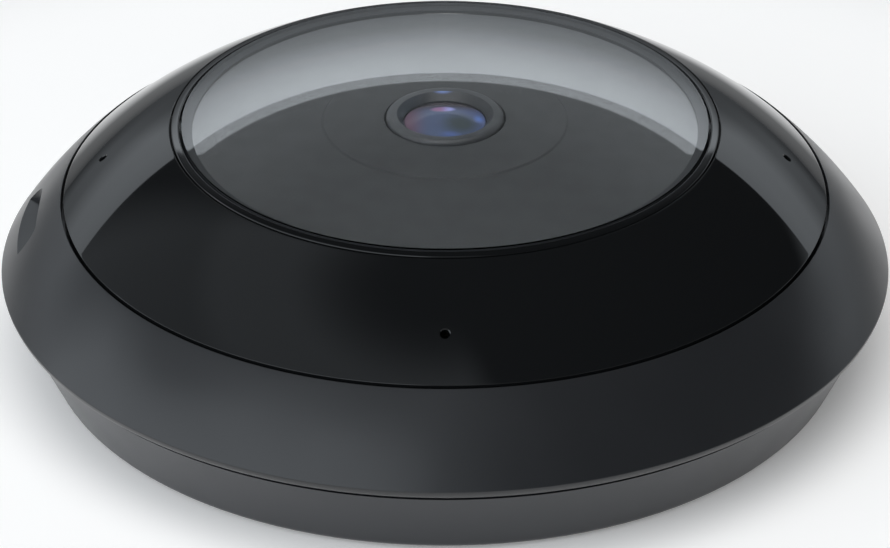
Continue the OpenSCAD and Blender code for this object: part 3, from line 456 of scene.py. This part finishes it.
def housing_plastic():
    """Polycarbonate, moulded against a finely etched mould: dark grey, satin, with soft broad highlights."""
    material, tree, shader = new_material("polycarbonate_etched_mould", "#232426", IOR=1.5)
    tint(tree, shader, 18, "#222325", "#252628")
    vary(tree, shader, 9, 0.28, 0.32)
    grain(tree, shader, 0.45, 0.004)
    return material


def base_plastic():
    """The same polycarbonate from its own mould, a shade lighter and a little duller."""
    material, tree, shader = new_material("polycarbonate_base_mould", "#292b2f", IOR=1.5)
    tint(tree, shader, 15, "#282a2e", "#2b2d31")
    vary(tree, shader, 9, 0.28, 0.32)
    grain(tree, shader, 0.45, 0.004)
    return material


def faceplate_plastic():
    """Dyed acrylic from a polished mould: black, mirror smooth, with the faintest swim from cooling."""
    material, tree, shader = new_material("acrylic_dyed_polished_mould", "#121314", IOR=1.49)
    vary(tree, shader, 12, 0.025, 0.035)
    grain(tree, shader, 9, 0.0006)
    return material


def trim_plastic():
    """Acetal turned and polished: a slim black ring with tight highlights."""
    material, tree, shader = new_material("acetal_turned_ring", "#101112", IOR=1.45)
    vary(tree, shader, 5, 0.05, 0.08)
    grain(tree, shader, 0.3, 0.001)
    return material


def window_acrylic():
    """Clear acrylic, cast and polished: sharp reflections from both faces, and soft shadows through it.

    Its seat and rim are inked dark grey, so that no stray light glitters at the window's edge.
    """
    material, tree, shader = new_material("acrylic_cast_clear", "#ffffff", IOR=1.49, Roughness=0.0)
    shader.inputs["Transmission Weight"].default_value = 1.0
    clear = add(tree, "BsdfTransparent", {"Color": linear("#f4f6f7")})
    shadow = add(tree, "LightPath").outputs["Is Shadow Ray"]
    glass = add(tree, "MixShader", {0: shadow, 1: shader.outputs[0], 2: clear.outputs[0]})
    ink = add(tree, "BsdfPrincipled", {"Base Color": linear("#3b3d3f"), "Roughness": 0.6,
                                       "Specular IOR Level": 0.0})
    _, _, height, out = place_mm(tree)
    low = height.by("LESS_THAN", WINDOW_LOW_Z + WINDOW_T - INK_DROP)
    inked = out.by("GREATER_THAN", WINDOW_STEP_R - INK_LAP) * low
    mix = add(tree, "MixShader", {0: inked, 1: glass.outputs[0], 2: ink.outputs[0]})
    tree.links.new(mix.outputs[0], tree.nodes["Material Output"].inputs["Surface"])
    return material


def mask_plastic():
    """Glass-filled nylon with a fine matt etch: mid grey, without a highlight."""
    material, tree, shader = new_material("nylon_matt_etched", "#37393a", IOR=1.5)
    shader.inputs["Specular IOR Level"].default_value = 0.3
    tint(tree, shader, 6, "#363839", "#393b3c")
    vary(tree, shader, 4, 0.58, 0.66)
    grain(tree, shader, 0.35, 0.006)
    return material


def spot(x, y, centre, reach_x, reach_y, hard=0.0):
    """An oval patch: whole in its middle, gone at its reach, with the share hard of it even."""
    return step(length((x - centre[0]) / reach_x, (y - centre[1]) / reach_y), 1.0, hard)


def ring_metal():
    """Aluminium, turned, bead blasted and anodised dark: a satin ring with a blackened cone inside.

    The back of the cone's rim has a painted reflection of the glass's blue coating. The cone also has a painted
    bluish reflection on its left, and the ring has painted shade: lighter on its left than on its right.
    """
    material, tree, shader = new_material("aluminium_anodised_dark", "#343638", IOR=1.5)
    x, y, _, out = place_mm(tree)
    # Painted reflection: the inside of the cone is tinted bluish on its left side
    cone = blend(step(x, -7.5, -1.5), linear("#262c33"), linear("#26282a"))
    # Painted reflection: a blue spot at the back of the cone's rim, the glass's coating mirrored there
    cone = blend(spot(x, y, (-0.8, RING_OPENING_R), 3.0, 0.45), cone, linear("#6a82bd"))
    # Painted shade: the ring is lighter on its left, towards the soft box, and darker to its right
    ring = blend(step(x, -9.0, 4.0), linear("#424446"), linear("#353739"))
    paint(shader, blend(step(out, RING_OPENING_R - 0.05, RING_OPENING_R + 0.1), cone, ring))
    vary(tree, shader, 3, 0.36, 0.42)
    grain(tree, shader, 0.2, 0.003)
    return material


def front_glass():
    """Optical glass with a multi-layer coating, whose colours are painted reflections:
    slate, wine red at one side and blue towards the rim.

    The layers cut the surface's own reflection to a trace. The colours lie in patches, with a lilac glint that
    is a painted highlight. A dark band at the rim is painted shade under the ring.
    """
    material, tree, shader = new_material("glass_coated_front", "#3f4964", IOR=1.6, Roughness=0.04)
    shader.inputs["Specular IOR Level"].default_value = 0.04
    x, y, _, out = place_mm(tree)
    # Painted reflections of the coating: wine red at the left, slate in the middle, blue at the right, with
    # dark, pinkish and blue patches
    colour = blend(step(x, -6.6, -2.6), linear("#5c4a58"), linear("#4c566d"))
    colour = blend(step(x, 0.5, 6.2), colour, linear("#4a5474"))
    colour = blend(spot(x, y, (2.8, -2.2), 4.6, 4.4, 0.2), colour, linear("#3d4548"))
    colour = blend(step(y, 2.0, 5.6), colour, linear("#403c40"))
    colour = blend(spot(x, y, (5.9, 0.2), 1.3, 2.0), colour, linear("#526ca8"))
    colour = blend(spot(x, y, (0.9, -5.5), 2.6, 1.2), colour, linear("#4f5f8b"))
    # Painted highlight: the lilac glint, a reflection of the bright wall in the glass's top
    glint = blend(step(x, -1.0, 1.2), linear("#856584"), linear("#9296cf"))
    colour = blend(spot(x, y, (-0.4, 2.9), 2.6, 1.4, 0.5), colour, glint)
    # Painted shade: the glass darkens towards its rim, under the ring's edge
    paint(shader, blend(step(out, GLASS_R - 0.45, GLASS_R - 0.1), colour, linear("#1b1e22")))
    return material


def inner_glass():
    """Coated inner element: painted reflections, deep violet on one side of the bore, slate blue on the other.
    """
    material, tree, shader = new_material("glass_coated_inner", "#2a2c4e", IOR=1.7, Roughness=0.06)
    x = place_mm(tree)[0]
    # Painted reflections of the coating: violet at the left of the bore, slate blue at the right
    colour = blend(step(x, -4.5, -1.0), linear("#6a1f45"), linear("#3c2d66"))
    paint(shader, blend(step(x, 0.0, 4.0), colour, linear("#22324a")))
    return material


def plain_plastic(name, one, other, low, high, grain_mm=0.4):
    """Moulded plastic: two near shades in patches, a roughness that wanders, and a fine grain."""
    material, tree, shader = new_material(name, one, IOR=1.5)
    tint(tree, shader, 6, one, other)
    vary(tree, shader, 5, low, high)
    grain(tree, shader, grain_mm, 0.004)
    return material


def plain_metal(name, one, other, low, high, grain_mm=0.5):
    """Bare metal: two near shades in patches, a roughness that wanders, and a fine grain."""
    material, tree, shader = new_material(name, one, Metallic=1.0)
    tint(tree, shader, 4, one, other)
    vary(tree, shader, 3, low, high)
    grain(tree, shader, grain_mm, 0.003)
    return material


def coated_pane(name, colour):
    """A thin coated pane: clear, with its colour in what passes through it."""
    material, tree, shader = new_material(name, colour, IOR=1.52)
    shader.inputs["Transmission Weight"].default_value = 0.8
    vary(tree, shader, 4, 0.02, 0.05)
    return material


# Pieces

def make_housing(material):
    """Housing: rounded lip, swelling slope, recess and ledge for the faceplate, and the thumb notch."""
    lip_z, wide_z = LIP_Z + LIP_GAP, LIP_Z + LIP_H
    slope_r = HOUSING_R - SLOPE_RUN
    ledge_z = SEAT_Z - LEDGE_T
    flange_top = FLANGE_Z + FLANGE_T

    def inner_r(z):
        return HOUSING_R - HOUSING_WALL - (z - wide_z) * SLOPE_RUN / (SLOPE_Z - wide_z)

    lip = arc((HOUSING_R - LIP_IN, lip_z), (HOUSING_R, wide_z), LIP_SWELL, LIP_STEPS)
    slope = arc((HOUSING_R, wide_z), (slope_r, SLOPE_Z), SLOPE_SWELL, SLOPE_STEPS)
    outline = rounded([
        (*lip[0], EDGE_ROUND / 2), *corners_of(lip[1:-1]),
        (*lip[-1], EDGE_ROUND), *corners_of(slope[1:-3]),
        (slope_r, SLOPE_Z, RIM_ROUND), (slope_r, SEAT_Z, 0),
        (SHELF_R, SEAT_Z, LEDGE_ROUND), (SHELF_R, ledge_z, LEDGE_ROUND), (inner_r(ledge_z), ledge_z, 0),
        (inner_r(flange_top), flange_top, 0), (FLANGE_IN_R, flange_top, 0), (FLANGE_IN_R, FLANGE_Z, 0),
        (SEAL_ROOM_R, FLANGE_Z, 0), (SEAL_ROOM_R, lip_z, SEAL_EDGE_ROUND)])
    housing = revolve("outer_housing_moulded", outline)
    cut(housing, [notch_cutter()])
    return place(housing, "outer_housing", material)


def notch_cutter():
    """Room of the thumb notch: open outwards, with two rounded corners, over a floor that falls outwards."""
    corner = np.linspace(-math.pi / 2, 0, NOTCH_CORNER_POINTS)
    bend = np.c_[np.cos(corner), np.sin(corner)] * NOTCH_CORNER_R
    x = -NOTCH_X - NOTCH_CORNER_R
    low_y, high_y = NOTCH_Y - NOTCH_HALF_W, NOTCH_Y + NOTCH_HALF_W
    outside = -HOUSING_R - LIP_H
    slope_foot = HOUSING_R - SLOPE_SWELL
    plan = np.concatenate([[[outside, low_y]], bend + [x, low_y + NOTCH_CORNER_R],
                           bend[::-1] * [1, -1] + [x, high_y - NOTCH_CORNER_R], [[outside, high_y]]])
    floor_z = NOTCH_FLOOR_Z + (plan[:, 0] + slope_foot) * NOTCH_TILT
    return prism("notch", plan, floor_z, np.full(len(plan), SLOPE_Z + LIP_H))


def pinhole_cutters(low, high, out):
    """A pin square to the faceplate's slope at each microphone, with a cone that widens the hole's edge."""
    chord = np.linalg.norm(high - low)
    radius = chord ** 2 / (8 * PLATE_SWELL) + PLATE_SWELL / 2
    rise = math.sqrt(radius ** 2 - (chord * (PINHOLE_SHARE - 0.5)) ** 2) - (radius - PLATE_SWELL)
    mouth = low + PINHOLE_SHARE * (high - low) + rise * out
    tilt = math.atan2(out[0], out[1])
    cone_r = PINHOLE_R + CONE_W
    outline = [(0, -PINHOLE_DEPTH), (PINHOLE_R, -PINHOLE_DEPTH), (PINHOLE_R, -CONE_HALF_H),
               (cone_r, CONE_HALF_H), (cone_r, CONE_STICK_OUT), (0, CONE_STICK_OUT)]
    cutters = []
    for k in range(PINHOLE_COUNT):
        pin = revolve_solid(f"pin_{k}", outline, PINHOLE_TURNS)
        turn = math.radians(-90 + k * 360 / PINHOLE_COUNT)
        pin.rotation_euler = (0, tilt, turn)
        pin.location = Vector((mouth[0] * math.cos(turn), mouth[0] * math.sin(turn), mouth[1])) * MM
        cutters.append(pin)
    bpy.context.view_layer.update()
    return cutters


def make_faceplate(material):
    """Faceplate: swelling slope, skirt, and a shelf and groove for window and trim ring, with pinholes."""
    low, high = np.array([PLATE_R, PLATE_Z]), np.array([PLATE_TOP_R, PLATE_TOP_Z])
    along = (high - low) / np.linalg.norm(high - low)
    out = np.array([along[1], -along[0]])
    inside = arc(low - PLATE_WALL * out, high - PLATE_WALL * out, PLATE_SWELL, PLATE_INSIDE_STEPS)
    slope = arc(low, high, PLATE_SWELL, PLATE_STEPS)
    web_r = PLATE_TOP_R + SHELF_WEB
    groove_r = BEZEL_R - BEZEL_W
    inner_top = inside[inside[:, 0] > web_r][::-1]
    outline = rounded([
        (*slope[0], PLATE_ROUND), *corners_of(slope[1:-1]), (*slope[-1], PLATE_TOP_ROUND),
        (PLATE_TOP_R, BEZEL_SEAT_Z, 0), (groove_r, BEZEL_SEAT_Z, 0), (groove_r, GASKET_Z, 0),
        (LEDGE_R, GASKET_Z, 0), (LEDGE_R, WINDOW_SHELF_Z, 0), (web_r, WINDOW_SHELF_Z, 0),
        *corners_of(inner_top), (inside[0][0], SEAT_Z, 0), (PLATE_R, SEAT_Z, 0)])
    plate = revolve("faceplate_moulded", outline)
    cut(plate, pinhole_cutters(low, high, out))
    return place(plate, "faceplate", material)


def make_bezel(material):
    """Trim ring round the window: straight walls and a rounded top that falls outwards like the window."""
    inner = BEZEL_R - BEZEL_W
    outline = rounded([(inner, BEZEL_SEAT_Z, 0), (BEZEL_R, BEZEL_SEAT_Z, 0),
                       (BEZEL_R, BEZEL_TOP_Z - BEZEL_FALL, BEZEL_ROUND), (inner, BEZEL_TOP_Z, BEZEL_ROUND)])
    return place(revolve("window_trim_ring", outline), "window_bezel", material)


def make_window(material):
    """Window: a ball cap with a straight rim, thicker inside a step that clears its seat.

    The rim's back runs even with the front. Inside the step the back is a slightly tighter ball.
    """
    rise = APEX_Z - (WINDOW_LOW_Z + WINDOW_T)
    ball = (WINDOW_R ** 2 + rise ** 2) / (2 * rise)
    r = np.linspace(0, WINDOW_R, WINDOW_TOP_POINTS)
    top = np.c_[r, APEX_Z - ball + np.sqrt(ball ** 2 - r ** 2)]
    r = np.linspace(0, WINDOW_STEP_R, WINDOW_BACK_POINTS)
    hollow = np.c_[r, APEX_Z - WINDOW_BODY_T - WINDOW_BACK_R + np.sqrt(WINDOW_BACK_R ** 2 - r ** 2)]
    r = np.linspace(WINDOW_STEP_R, WINDOW_R, WINDOW_SEAT_POINTS)
    seat = np.c_[r, APEX_Z - ball + np.sqrt((ball - WINDOW_T) ** 2 - r ** 2)]
    rim = [[WINDOW_R, max(WINDOW_LOW_Z, seat[-1, 1])], [WINDOW_R, top[-1, 1]]]
    outline = np.concatenate([hollow, seat[:-1], rim, top[:-1][::-1]])
    return place(revolve_solid("window_cap", outline, TURNS), "window_dome", material)


def make_mask(material):
    """Mask plate: raised disc round the lens with a soft step, gentle slope, and a flange under the shelf."""
    disc_z = MASK_TOP_Z - DISC_DROP
    edge_z = GASKET_Z - DISC_DROP
    outline = rounded([
        (MASK_HOLE_R, MASK_TOP_Z - MASK_T, 0), (MASK_EDGE_R - MASK_T, edge_z - MASK_T, 0),
        (MASK_EDGE_R - MASK_T, WINDOW_SHELF_Z - MASK_T, 0), (MASK_FLANGE_R, WINDOW_SHELF_Z - MASK_T, 0),
        (MASK_FLANGE_R, WINDOW_SHELF_Z, 0), (MASK_EDGE_R, WINDOW_SHELF_Z, 0),
        (MASK_EDGE_R, edge_z, MASK_EDGE_ROUND), (DISC_R + DISC_STEP, disc_z - DISC_STEP, DISC_ROUND),
        (DISC_R, disc_z, DISC_ROUND), (MASK_HOLE_R, MASK_TOP_Z, MASK_HOLE_ROUND)])
    return place(revolve("mask_plate_moulded", outline), "mask_plate", material)


def make_ring(material):
    """Ring over the front glass: rounded outside, a narrow flat, and a cone down to the glass."""
    glass_z = GLASS_TOP_Z - GLASS_CURVE + math.sqrt(GLASS_CURVE ** 2 - (GLASS_R - GLASS_LAND_GAP) ** 2)
    land = glass_z + RING_LAND_RISE
    outline = rounded([
        (RING_STEP_R, HEAD_TOP_Z, 0), (RING_R, HEAD_TOP_Z, 0), (RING_R, RING_TOP_Z, RING_ROUND),
        (RING_OPENING_R, RING_TOP_Z, RING_EDGE), (GLASS_R, RING_TOP_Z - GLASS_DEPTH, 0), (GLASS_R, land, 0),
        (RING_STEP_R, land, 0)])
    return place(revolve("lens_front_ring", outline), "lens_ring", material)


def make_front_glass(material):
    """Front glass: a ball cap on a flat rim, hollowed from behind by a much tighter ball."""
    top_r = GLASS_R - GLASS_LAND_GAP
    r = np.linspace(top_r, 0, GLASS_TOP_POINTS)
    top = np.c_[r, GLASS_TOP_Z - GLASS_CURVE + np.sqrt(GLASS_CURVE ** 2 - r ** 2)]
    back_centre = GLASS_SEAT_Z - math.sqrt(GLASS_BACK_CURVE ** 2 - GLASS_BACK_R ** 2)
    r = np.linspace(0, GLASS_BACK_R, GLASS_BACK_POINTS)
    back = np.c_[r, back_centre + np.sqrt(GLASS_BACK_CURVE ** 2 - r ** 2)]
    outline = np.concatenate([back, [[GLASS_RIM_R, GLASS_SEAT_Z], [GLASS_RIM_R, top[0, 1]]], top])
    return place(revolve_solid("front_glass", outline, GLASS_TURNS), "front_lens", material)


def make_second_glass(material):
    """Second element: a flat back, and a front face hollowed by a ball inside its rim."""
    hollow_r = SECOND_R * SECOND_HOLLOW_SHARE
    hollow = SECOND_CURVE - math.sqrt(SECOND_CURVE ** 2 - hollow_r ** 2)
    r = np.linspace(0, hollow_r, SECOND_POINTS)
    front = np.c_[r, SECOND_TOP_Z + SECOND_CURVE - hollow - np.sqrt(SECOND_CURVE ** 2 - r ** 2)]
    outline = np.concatenate([[[0, SECOND_Z], [SECOND_R, SECOND_Z], [SECOND_R, SECOND_TOP_Z]], front[::-1]])
    return place(revolve_solid("second_glass", outline, SECOND_TURNS), "second_lens", material)


# Stage: floor, studio light and camera. The camera's clipping and the lamp's size and place are in metres.

CAMERA_AT = Vector((0, -606.3, 361.6)) * MM
LOOK_AT = Vector((0, 0, 11.7)) * MM
CAMERA_LENS = 157.7
CAMERA_SENSOR = 36
CAMERA_CLIP = (0.01, 30)
FLOOR_R = 3000
FLOOR_SIDES = 96
FLOOR_NEAR = 140
FLOOR_FAR = 280
FLOOR_LIFT = 0.2
LAMP_SIZE = 1.3
LAMP_POWER = 14.0
LAMP_AT = Vector((0, -0.3, 1.38))

# The studio as the object mirrors it, by direction: x to the right, y away from the camera and z up. Azimuths
# are degrees from +y towards +x. A pair says where a light starts and where it is whole.
LEAST_LENGTH = 1e-4
LEAST_AHEAD = 1e-3
DARK_LEVEL = 0.02
STUDIO_TINT = (0.93, 1.0, 1.065, 1)

# Wall behind. Its top edge is a height over distance, which rises from the middle towards the sides and falls
# again. The stops say how bright the wall is at shares of that height.
WALL_TOP = 0.427
WALL_RISE = 3.05
WALL_FLANK = 0.60
WALL_FALL = 0.085
WALL_LEAST = 0.47
WALL_EDGE = (1.0, 0.985)
WALL_STOPS = [(0.0, 0.12), (0.12, 0.2), (0.3, 0.2), (0.5, 0.36), (0.6, 0.52), (0.68, 0.84), (0.75, 1.1),
              (0.85, 1.4), (1.0, 1.75)]
WALL_SCALE = 2.5
WALL_DIM = 1.8
WALL_GAIN = 0.8
WALL_SIDE = (0.02, 0.08)
FLANK_STOPS = [(0.0, 0.1), (0.12, 0.3), (0.25, 0.37), (0.5, 0.82), (0.75, 0.95), (1.0, 0.95)]
FLANK_SIDE = (0.06, 0.3)
HALO_LEVEL = 0.13
HALO_FADE = (1.7, 1.0)
HALO_SIDE = (0.25, 0.05)

# Soft box at the left front, and the dim glow round and over it
BOX_AZIMUTH = -121
BOX_SPREAD = (58, 47)
BOX_LEVEL = 1.6
BOX_TOP_SIDE = 0.44
BOX_TOP_FRONT = 0.72
BOX_TURN = (0.05, 0.55)
BOX_FADE = (0.06, 0.0)
GLOW_SPREAD = (84, 66)
GLOW_LEVEL = 0.24
GLOW_HIGHER = 0.12
GLOW_STEP = (0.68, 0.78)
GLOW_TOP = (0.995, 0.88)

# Low panel at the right back, and the pale band along the horizon
PANEL_AZIMUTH = 57
PANEL_SPREAD = (20, 11.48)
PANEL_LEVEL = 0.6
PANEL_FOOT = (0.03, 0.15)
PANEL_TOP = (0.36, 0.22)
HORIZON_LEVEL = 0.5
HORIZON_BACK = 0.07
HORIZON_TURN = (0.2, 0.6)
HORIZON_TOP = (0.1, 0.06)


def make_camera():
    """The photo's view: 30 degrees down, from 0.7 m."""
    data = bpy.data.cameras.new("camera")
    data.lens, data.sensor_width = CAMERA_LENS, CAMERA_SENSOR
    data.clip_start, data.clip_end = CAMERA_CLIP
    camera = bpy.data.objects.new("camera", data)
    camera.location = CAMERA_AT
    camera.rotation_euler = (LOOK_AT - CAMERA_AT).to_track_quat("-Z", "Y").to_euler()
    bpy.context.scene.collection.objects.link(camera)
    bpy.context.scene.camera = camera


def make_floor():
    """Pale matt floor: painted shade darkens it far from the object; lifted where it is seen or mirrored, clear
    from below.
    """
    material, tree, shader = new_material("floor_paper", "#f6f5f4", Roughness=0.9)
    shader.inputs["Specular IOR Level"].default_value = 0.0
    _, _, _, away = place_mm(tree)
    # Painted shade: the floor's colour darkens from FLOOR_NEAR to FLOOR_FAR, where the light would fall off
    paper_with_painted_shade = blend(step(away, FLOOR_NEAR, FLOOR_FAR), linear("#f6f5f4"), linear("#9d9d9d"))
    paint(shader, paper_with_painted_shade)
    light = add(tree, "LightPath").outputs
    seen = Term(tree, light["Is Camera Ray"]).by("MAXIMUM", light["Is Glossy Ray"])
    seen = seen.by("MAXIMUM", light["Is Transmission Ray"])
    tree.links.new(paper_with_painted_shade.socket, shader.inputs["Emission Color"])
    tree.links.new((seen * FLOOR_LIFT).socket, shader.inputs["Emission Strength"])
    back = add(tree, "NewGeometry").outputs["Backfacing"]
    clear = add(tree, "BsdfTransparent")
    mix = add(tree, "MixShader", {0: back, 1: shader.outputs[0], 2: clear.outputs[0]})
    tree.links.new(mix.outputs[0], tree.nodes["Material Output"].inputs["Surface"])
    angle = np.arange(FLOOR_SIDES) * 2 * math.pi / FLOOR_SIDES
    rim = np.c_[np.cos(angle), np.sin(angle), np.zeros(FLOOR_SIDES)] * FLOOR_R
    floor = new_mesh("floor", rim, [list(range(FLOOR_SIDES))])
    floor.data.materials.append(material)


def levels(share, stops):
    """Brightness along a share of the wall's height, as parts of the wall's scale."""
    ramp = add(share.tree, "ValToRGB", {"Fac": share})
    ends = ramp.color_ramp.elements
    ends[0].position, ends[1].position = stops[0][0], stops[-1][0]
    for at, level in stops:
        stop = next((e for e in ends if e.position == at), None) or ends.new(at)
        stop.color = (*[level / WALL_SCALE] * 3, 1)
    return Term(share.tree, ramp.outputs["Color"])


def facing(x, y, azimuth):
    """Cosine of the way round from an azimuth: (x sin azimuth + y cos azimuth) / length of (x, y)."""
    turn = math.radians(azimuth)
    return (x * math.sin(turn) + y * math.cos(turn)) / length(x, y).by("MAXIMUM", LEAST_LENGTH)


def sector(x, y, azimuth, spread):
    """One on both sides of an azimuth, as far as the spread's pair of degrees says."""
    start, whole = (math.cos(math.radians(half)) for half in spread)
    return step(facing(x, y, azimuth), start, whole)


def wall_light(x, y, z):
    """The pale wall behind, brightest at its top edge, with a faint halo over the edge's middle.

    A share of the height that falls short of the edge counts for less the further it is to the side.
    """
    ahead = y.by("MAXIMUM", LEAST_AHEAD)
    turned = (x / ahead).by("ABSOLUTE")
    aside = turned * turned
    middle = aside * WALL_RISE + WALL_TOP
    flank = (WALL_FLANK - aside * WALL_FALL).by("MAXIMUM", WALL_LEAST)
    share = z / ahead / middle.by("MINIMUM", flank)
    dimmer = share - turned * (1.0 - share) * WALL_DIM
    behind = levels(dimmer, WALL_STOPS) * (turned * WALL_GAIN + 1.0)
    wall = blend(step(aside, *FLANK_SIDE), behind, levels(share, FLANK_STOPS)) * WALL_SCALE
    halo = step(share, *HALO_FADE, HALO_LEVEL) * step(aside, *HALO_SIDE)
    return (wall * step(share, *WALL_EDGE)).by("MAXIMUM", halo) * step(y, *WALL_SIDE)


def box_light(x, y, z):
    """The large soft box, which reaches higher towards the front, and the dim glow round and over it."""
    top = step(facing(x, y, 180), *BOX_TURN) * (BOX_TOP_FRONT - BOX_TOP_SIDE) + BOX_TOP_SIDE
    box = step(z - top, *BOX_FADE) * BOX_LEVEL * sector(x, y, BOX_AZIMUTH, BOX_SPREAD)
    glow = step(z, *GLOW_TOP) * (step(z, *GLOW_STEP, GLOW_HIGHER) + GLOW_LEVEL)
    return box.by("MAXIMUM", glow * sector(x, y, BOX_AZIMUTH, GLOW_SPREAD))


def low_light(x, y, z):
    """The low panel, and the band along the horizon, which is weaker at the back."""
    height = step(z, *PANEL_FOOT) * step(z, *PANEL_TOP, PANEL_LEVEL)
    weaker = step(facing(x, y, 0), *HORIZON_TURN, HORIZON_LEVEL - HORIZON_BACK)
    band = step(z, *HORIZON_TOP) * (HORIZON_LEVEL - weaker)
    return band.by("MAXIMUM", sector(x, y, PANEL_AZIMUTH, PANEL_SPREAD) * height)


def make_world():
    """Studio: a pale wall behind, a large soft box at the left front, a low panel, and dark above."""
    world = bpy.data.worlds.new("studio")
    bpy.context.scene.world = world
    world.use_nodes = True
    tree = world.node_tree
    tree.nodes.clear()
    direction = add(tree, "TexCoord").outputs["Generated"]
    way = [Term(tree, socket) for socket in add(tree, "SeparateXYZ", {0: direction}).outputs]
    total = wall_light(*way).by("MAXIMUM", box_light(*way)).by("MAXIMUM", low_light(*way)) + DARK_LEVEL
    colour = add(tree, "Mix", {0: 1.0, 6: total, 7: STUDIO_TINT}, data_type="RGBA", blend_type="MULTIPLY")
    shine = add(tree, "Background", {"Color": colour.outputs[2]})
    output = add(tree, "OutputWorld")
    tree.links.new(shine.outputs[0], output.inputs["Surface"])


def make_lamp():
    """Large soft lamp overhead, which the glossy pieces don't mirror."""
    data = bpy.data.lights.new("overhead", "AREA")
    data.energy, data.size, data.shape = LAMP_POWER, LAMP_SIZE, "SQUARE"
    lamp = bpy.data.objects.new("overhead", data)
    lamp.location = LAMP_AT
    lamp.rotation_euler = (-LAMP_AT).to_track_quat("-Z", "Y").to_euler()
    lamp.visible_glossy = False
    lamp.visible_camera = False
    bpy.context.scene.collection.objects.link(lamp)


def dress_nodes():
    """Gives the carried-over nodes their materials."""
    # Near black and dull
    rubber = plain_plastic("rubber_moulded", "#0d0d0e", "#111112", 0.7, 0.8)
    # Black with a low sheen
    black = plain_plastic("abs_black_moulded", "#1b1c1d", "#202122", 0.45, 0.55)
    # Very dark grey, finely grained
    chip = plain_plastic("epoxy_moulded", "#232427", "#2a2b2e", 0.4, 0.5, 0.2)
    # Deep green and half glossy, with a slow swim in its coat
    board = plain_plastic("solder_mask_green", "#17402b", "#1c4a33", 0.28, 0.36, 1.5)
    # Cream with a low sheen
    nylon = plain_plastic("nylon_cream_moulded", "#d9d4c6", "#cfcabc", 0.4, 0.5)
    # Amber and half glossy
    film = plain_plastic("polyimide_film", "#b8752a", "#a9681f", 0.3, 0.4, 1.2)
    # Pale blue grey and dull
    pad = plain_plastic("silicone_soft_sheet", "#8799a8", "#7d8f9e", 0.6, 0.7, 0.6)
    # Pale metal with broad, soft patches in its plating
    zinc = plain_metal("steel_zinc_plated", "#b9bbbd", "#a9acb0", 0.28, 0.4, 2.0)
    # Plain grey metal with blurred highlights
    steel = plain_metal("steel_plain", "#a7a9ab", "#979a9d", 0.3, 0.38)
    # Darker, grainy and dull, as it comes out of the die
    cast = plain_metal("alloy_die_cast", "#9a9c9f", "#8c8e92", 0.45, 0.6, 0.8)
    # Warm yellow, the brightest of the metals
    gold = plain_metal("contact_gold_plated", "#c9a552", "#b8923f", 0.2, 0.26, 0.3)
    # Red brown under clear enamel
    copper = plain_metal("wire_copper_enamelled", "#a85f35", "#8f4b26", 0.28, 0.36, 0.3)
    # Clear with a blue green cast
    pane = coated_pane("glass_filter_coated", "#8fd0cf")
    # Clear, all but colourless
    clear = coated_pane("glass_clear_pane", "#eef4f6")
    wear = {
        rubber: ["window_gasket", "mic_boots"],
        black: ["lens_barrel", "aperture_stop", "lens_holder",
                "ir_cut_frame", "ir_cut_slider", "actuator_base"],
        chip: ["image_sensor", "power_transformer", "power_inductors",
               "processor", "memory_chips", "reset_switch"],
        board: ["sensor_board", "main_board", "led_board"],
        nylon: ["actuator_arm", "sensor_connector", "board_connector", "ir_leds"],
        film: ["sensor_flex"],
        pad: ["thermal_pad"],
        steel: ["actuator_yoke", "actuator_magnet", "sensor_screws", "chassis_screws"],
        cast: ["chassis", "capacitors"],
        gold: ["jack_contacts", "microphones"],
        copper: ["actuator_coil"],
        pane: ["ir_cut_filter", "sensor_glass"],
        clear: ["clear_filter", "third_lens", "rear_lens"],
    }
    for material, nodes in wear.items():
        for node in nodes:
            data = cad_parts[node].data
            data.materials.clear()
            data.materials.append(material)
    place(smooth_copy("housing_seal", "housing_seal_ring"), "housing_seal", rubber)
    place(smooth_copy("mount_bracket", "mount_bracket_pressed"), "mount_bracket", zinc,
          "bracket")
    place(smooth_copy("plug_cover", "plug_cover_moulded"), "plug_cover", black)
    place(smooth_copy("base_screws", "base_screws_driven"), "base_screws", steel)
    place(smooth_copy("network_jack", "network_jack_shell"), "network_jack", steel)
    place(smooth_copy("reset_button", "reset_button_moulded"), "reset_button", black,
          "button")


make_camera()
make_floor()
make_world()
make_lamp()
make_housing(housing_plastic())
make_faceplate(faceplate_plastic())
make_bezel(trim_plastic())
make_window(window_acrylic())
make_mask(mask_plastic())
make_ring(ring_metal())
make_front_glass(front_glass())
make_second_glass(inner_glass())
place(smooth_copy("base_shell", "base_shell_moulded"), "base_shell", base_plastic())
dress_nodes()

bpy.context.scene.view_settings.view_transform = "Standard"
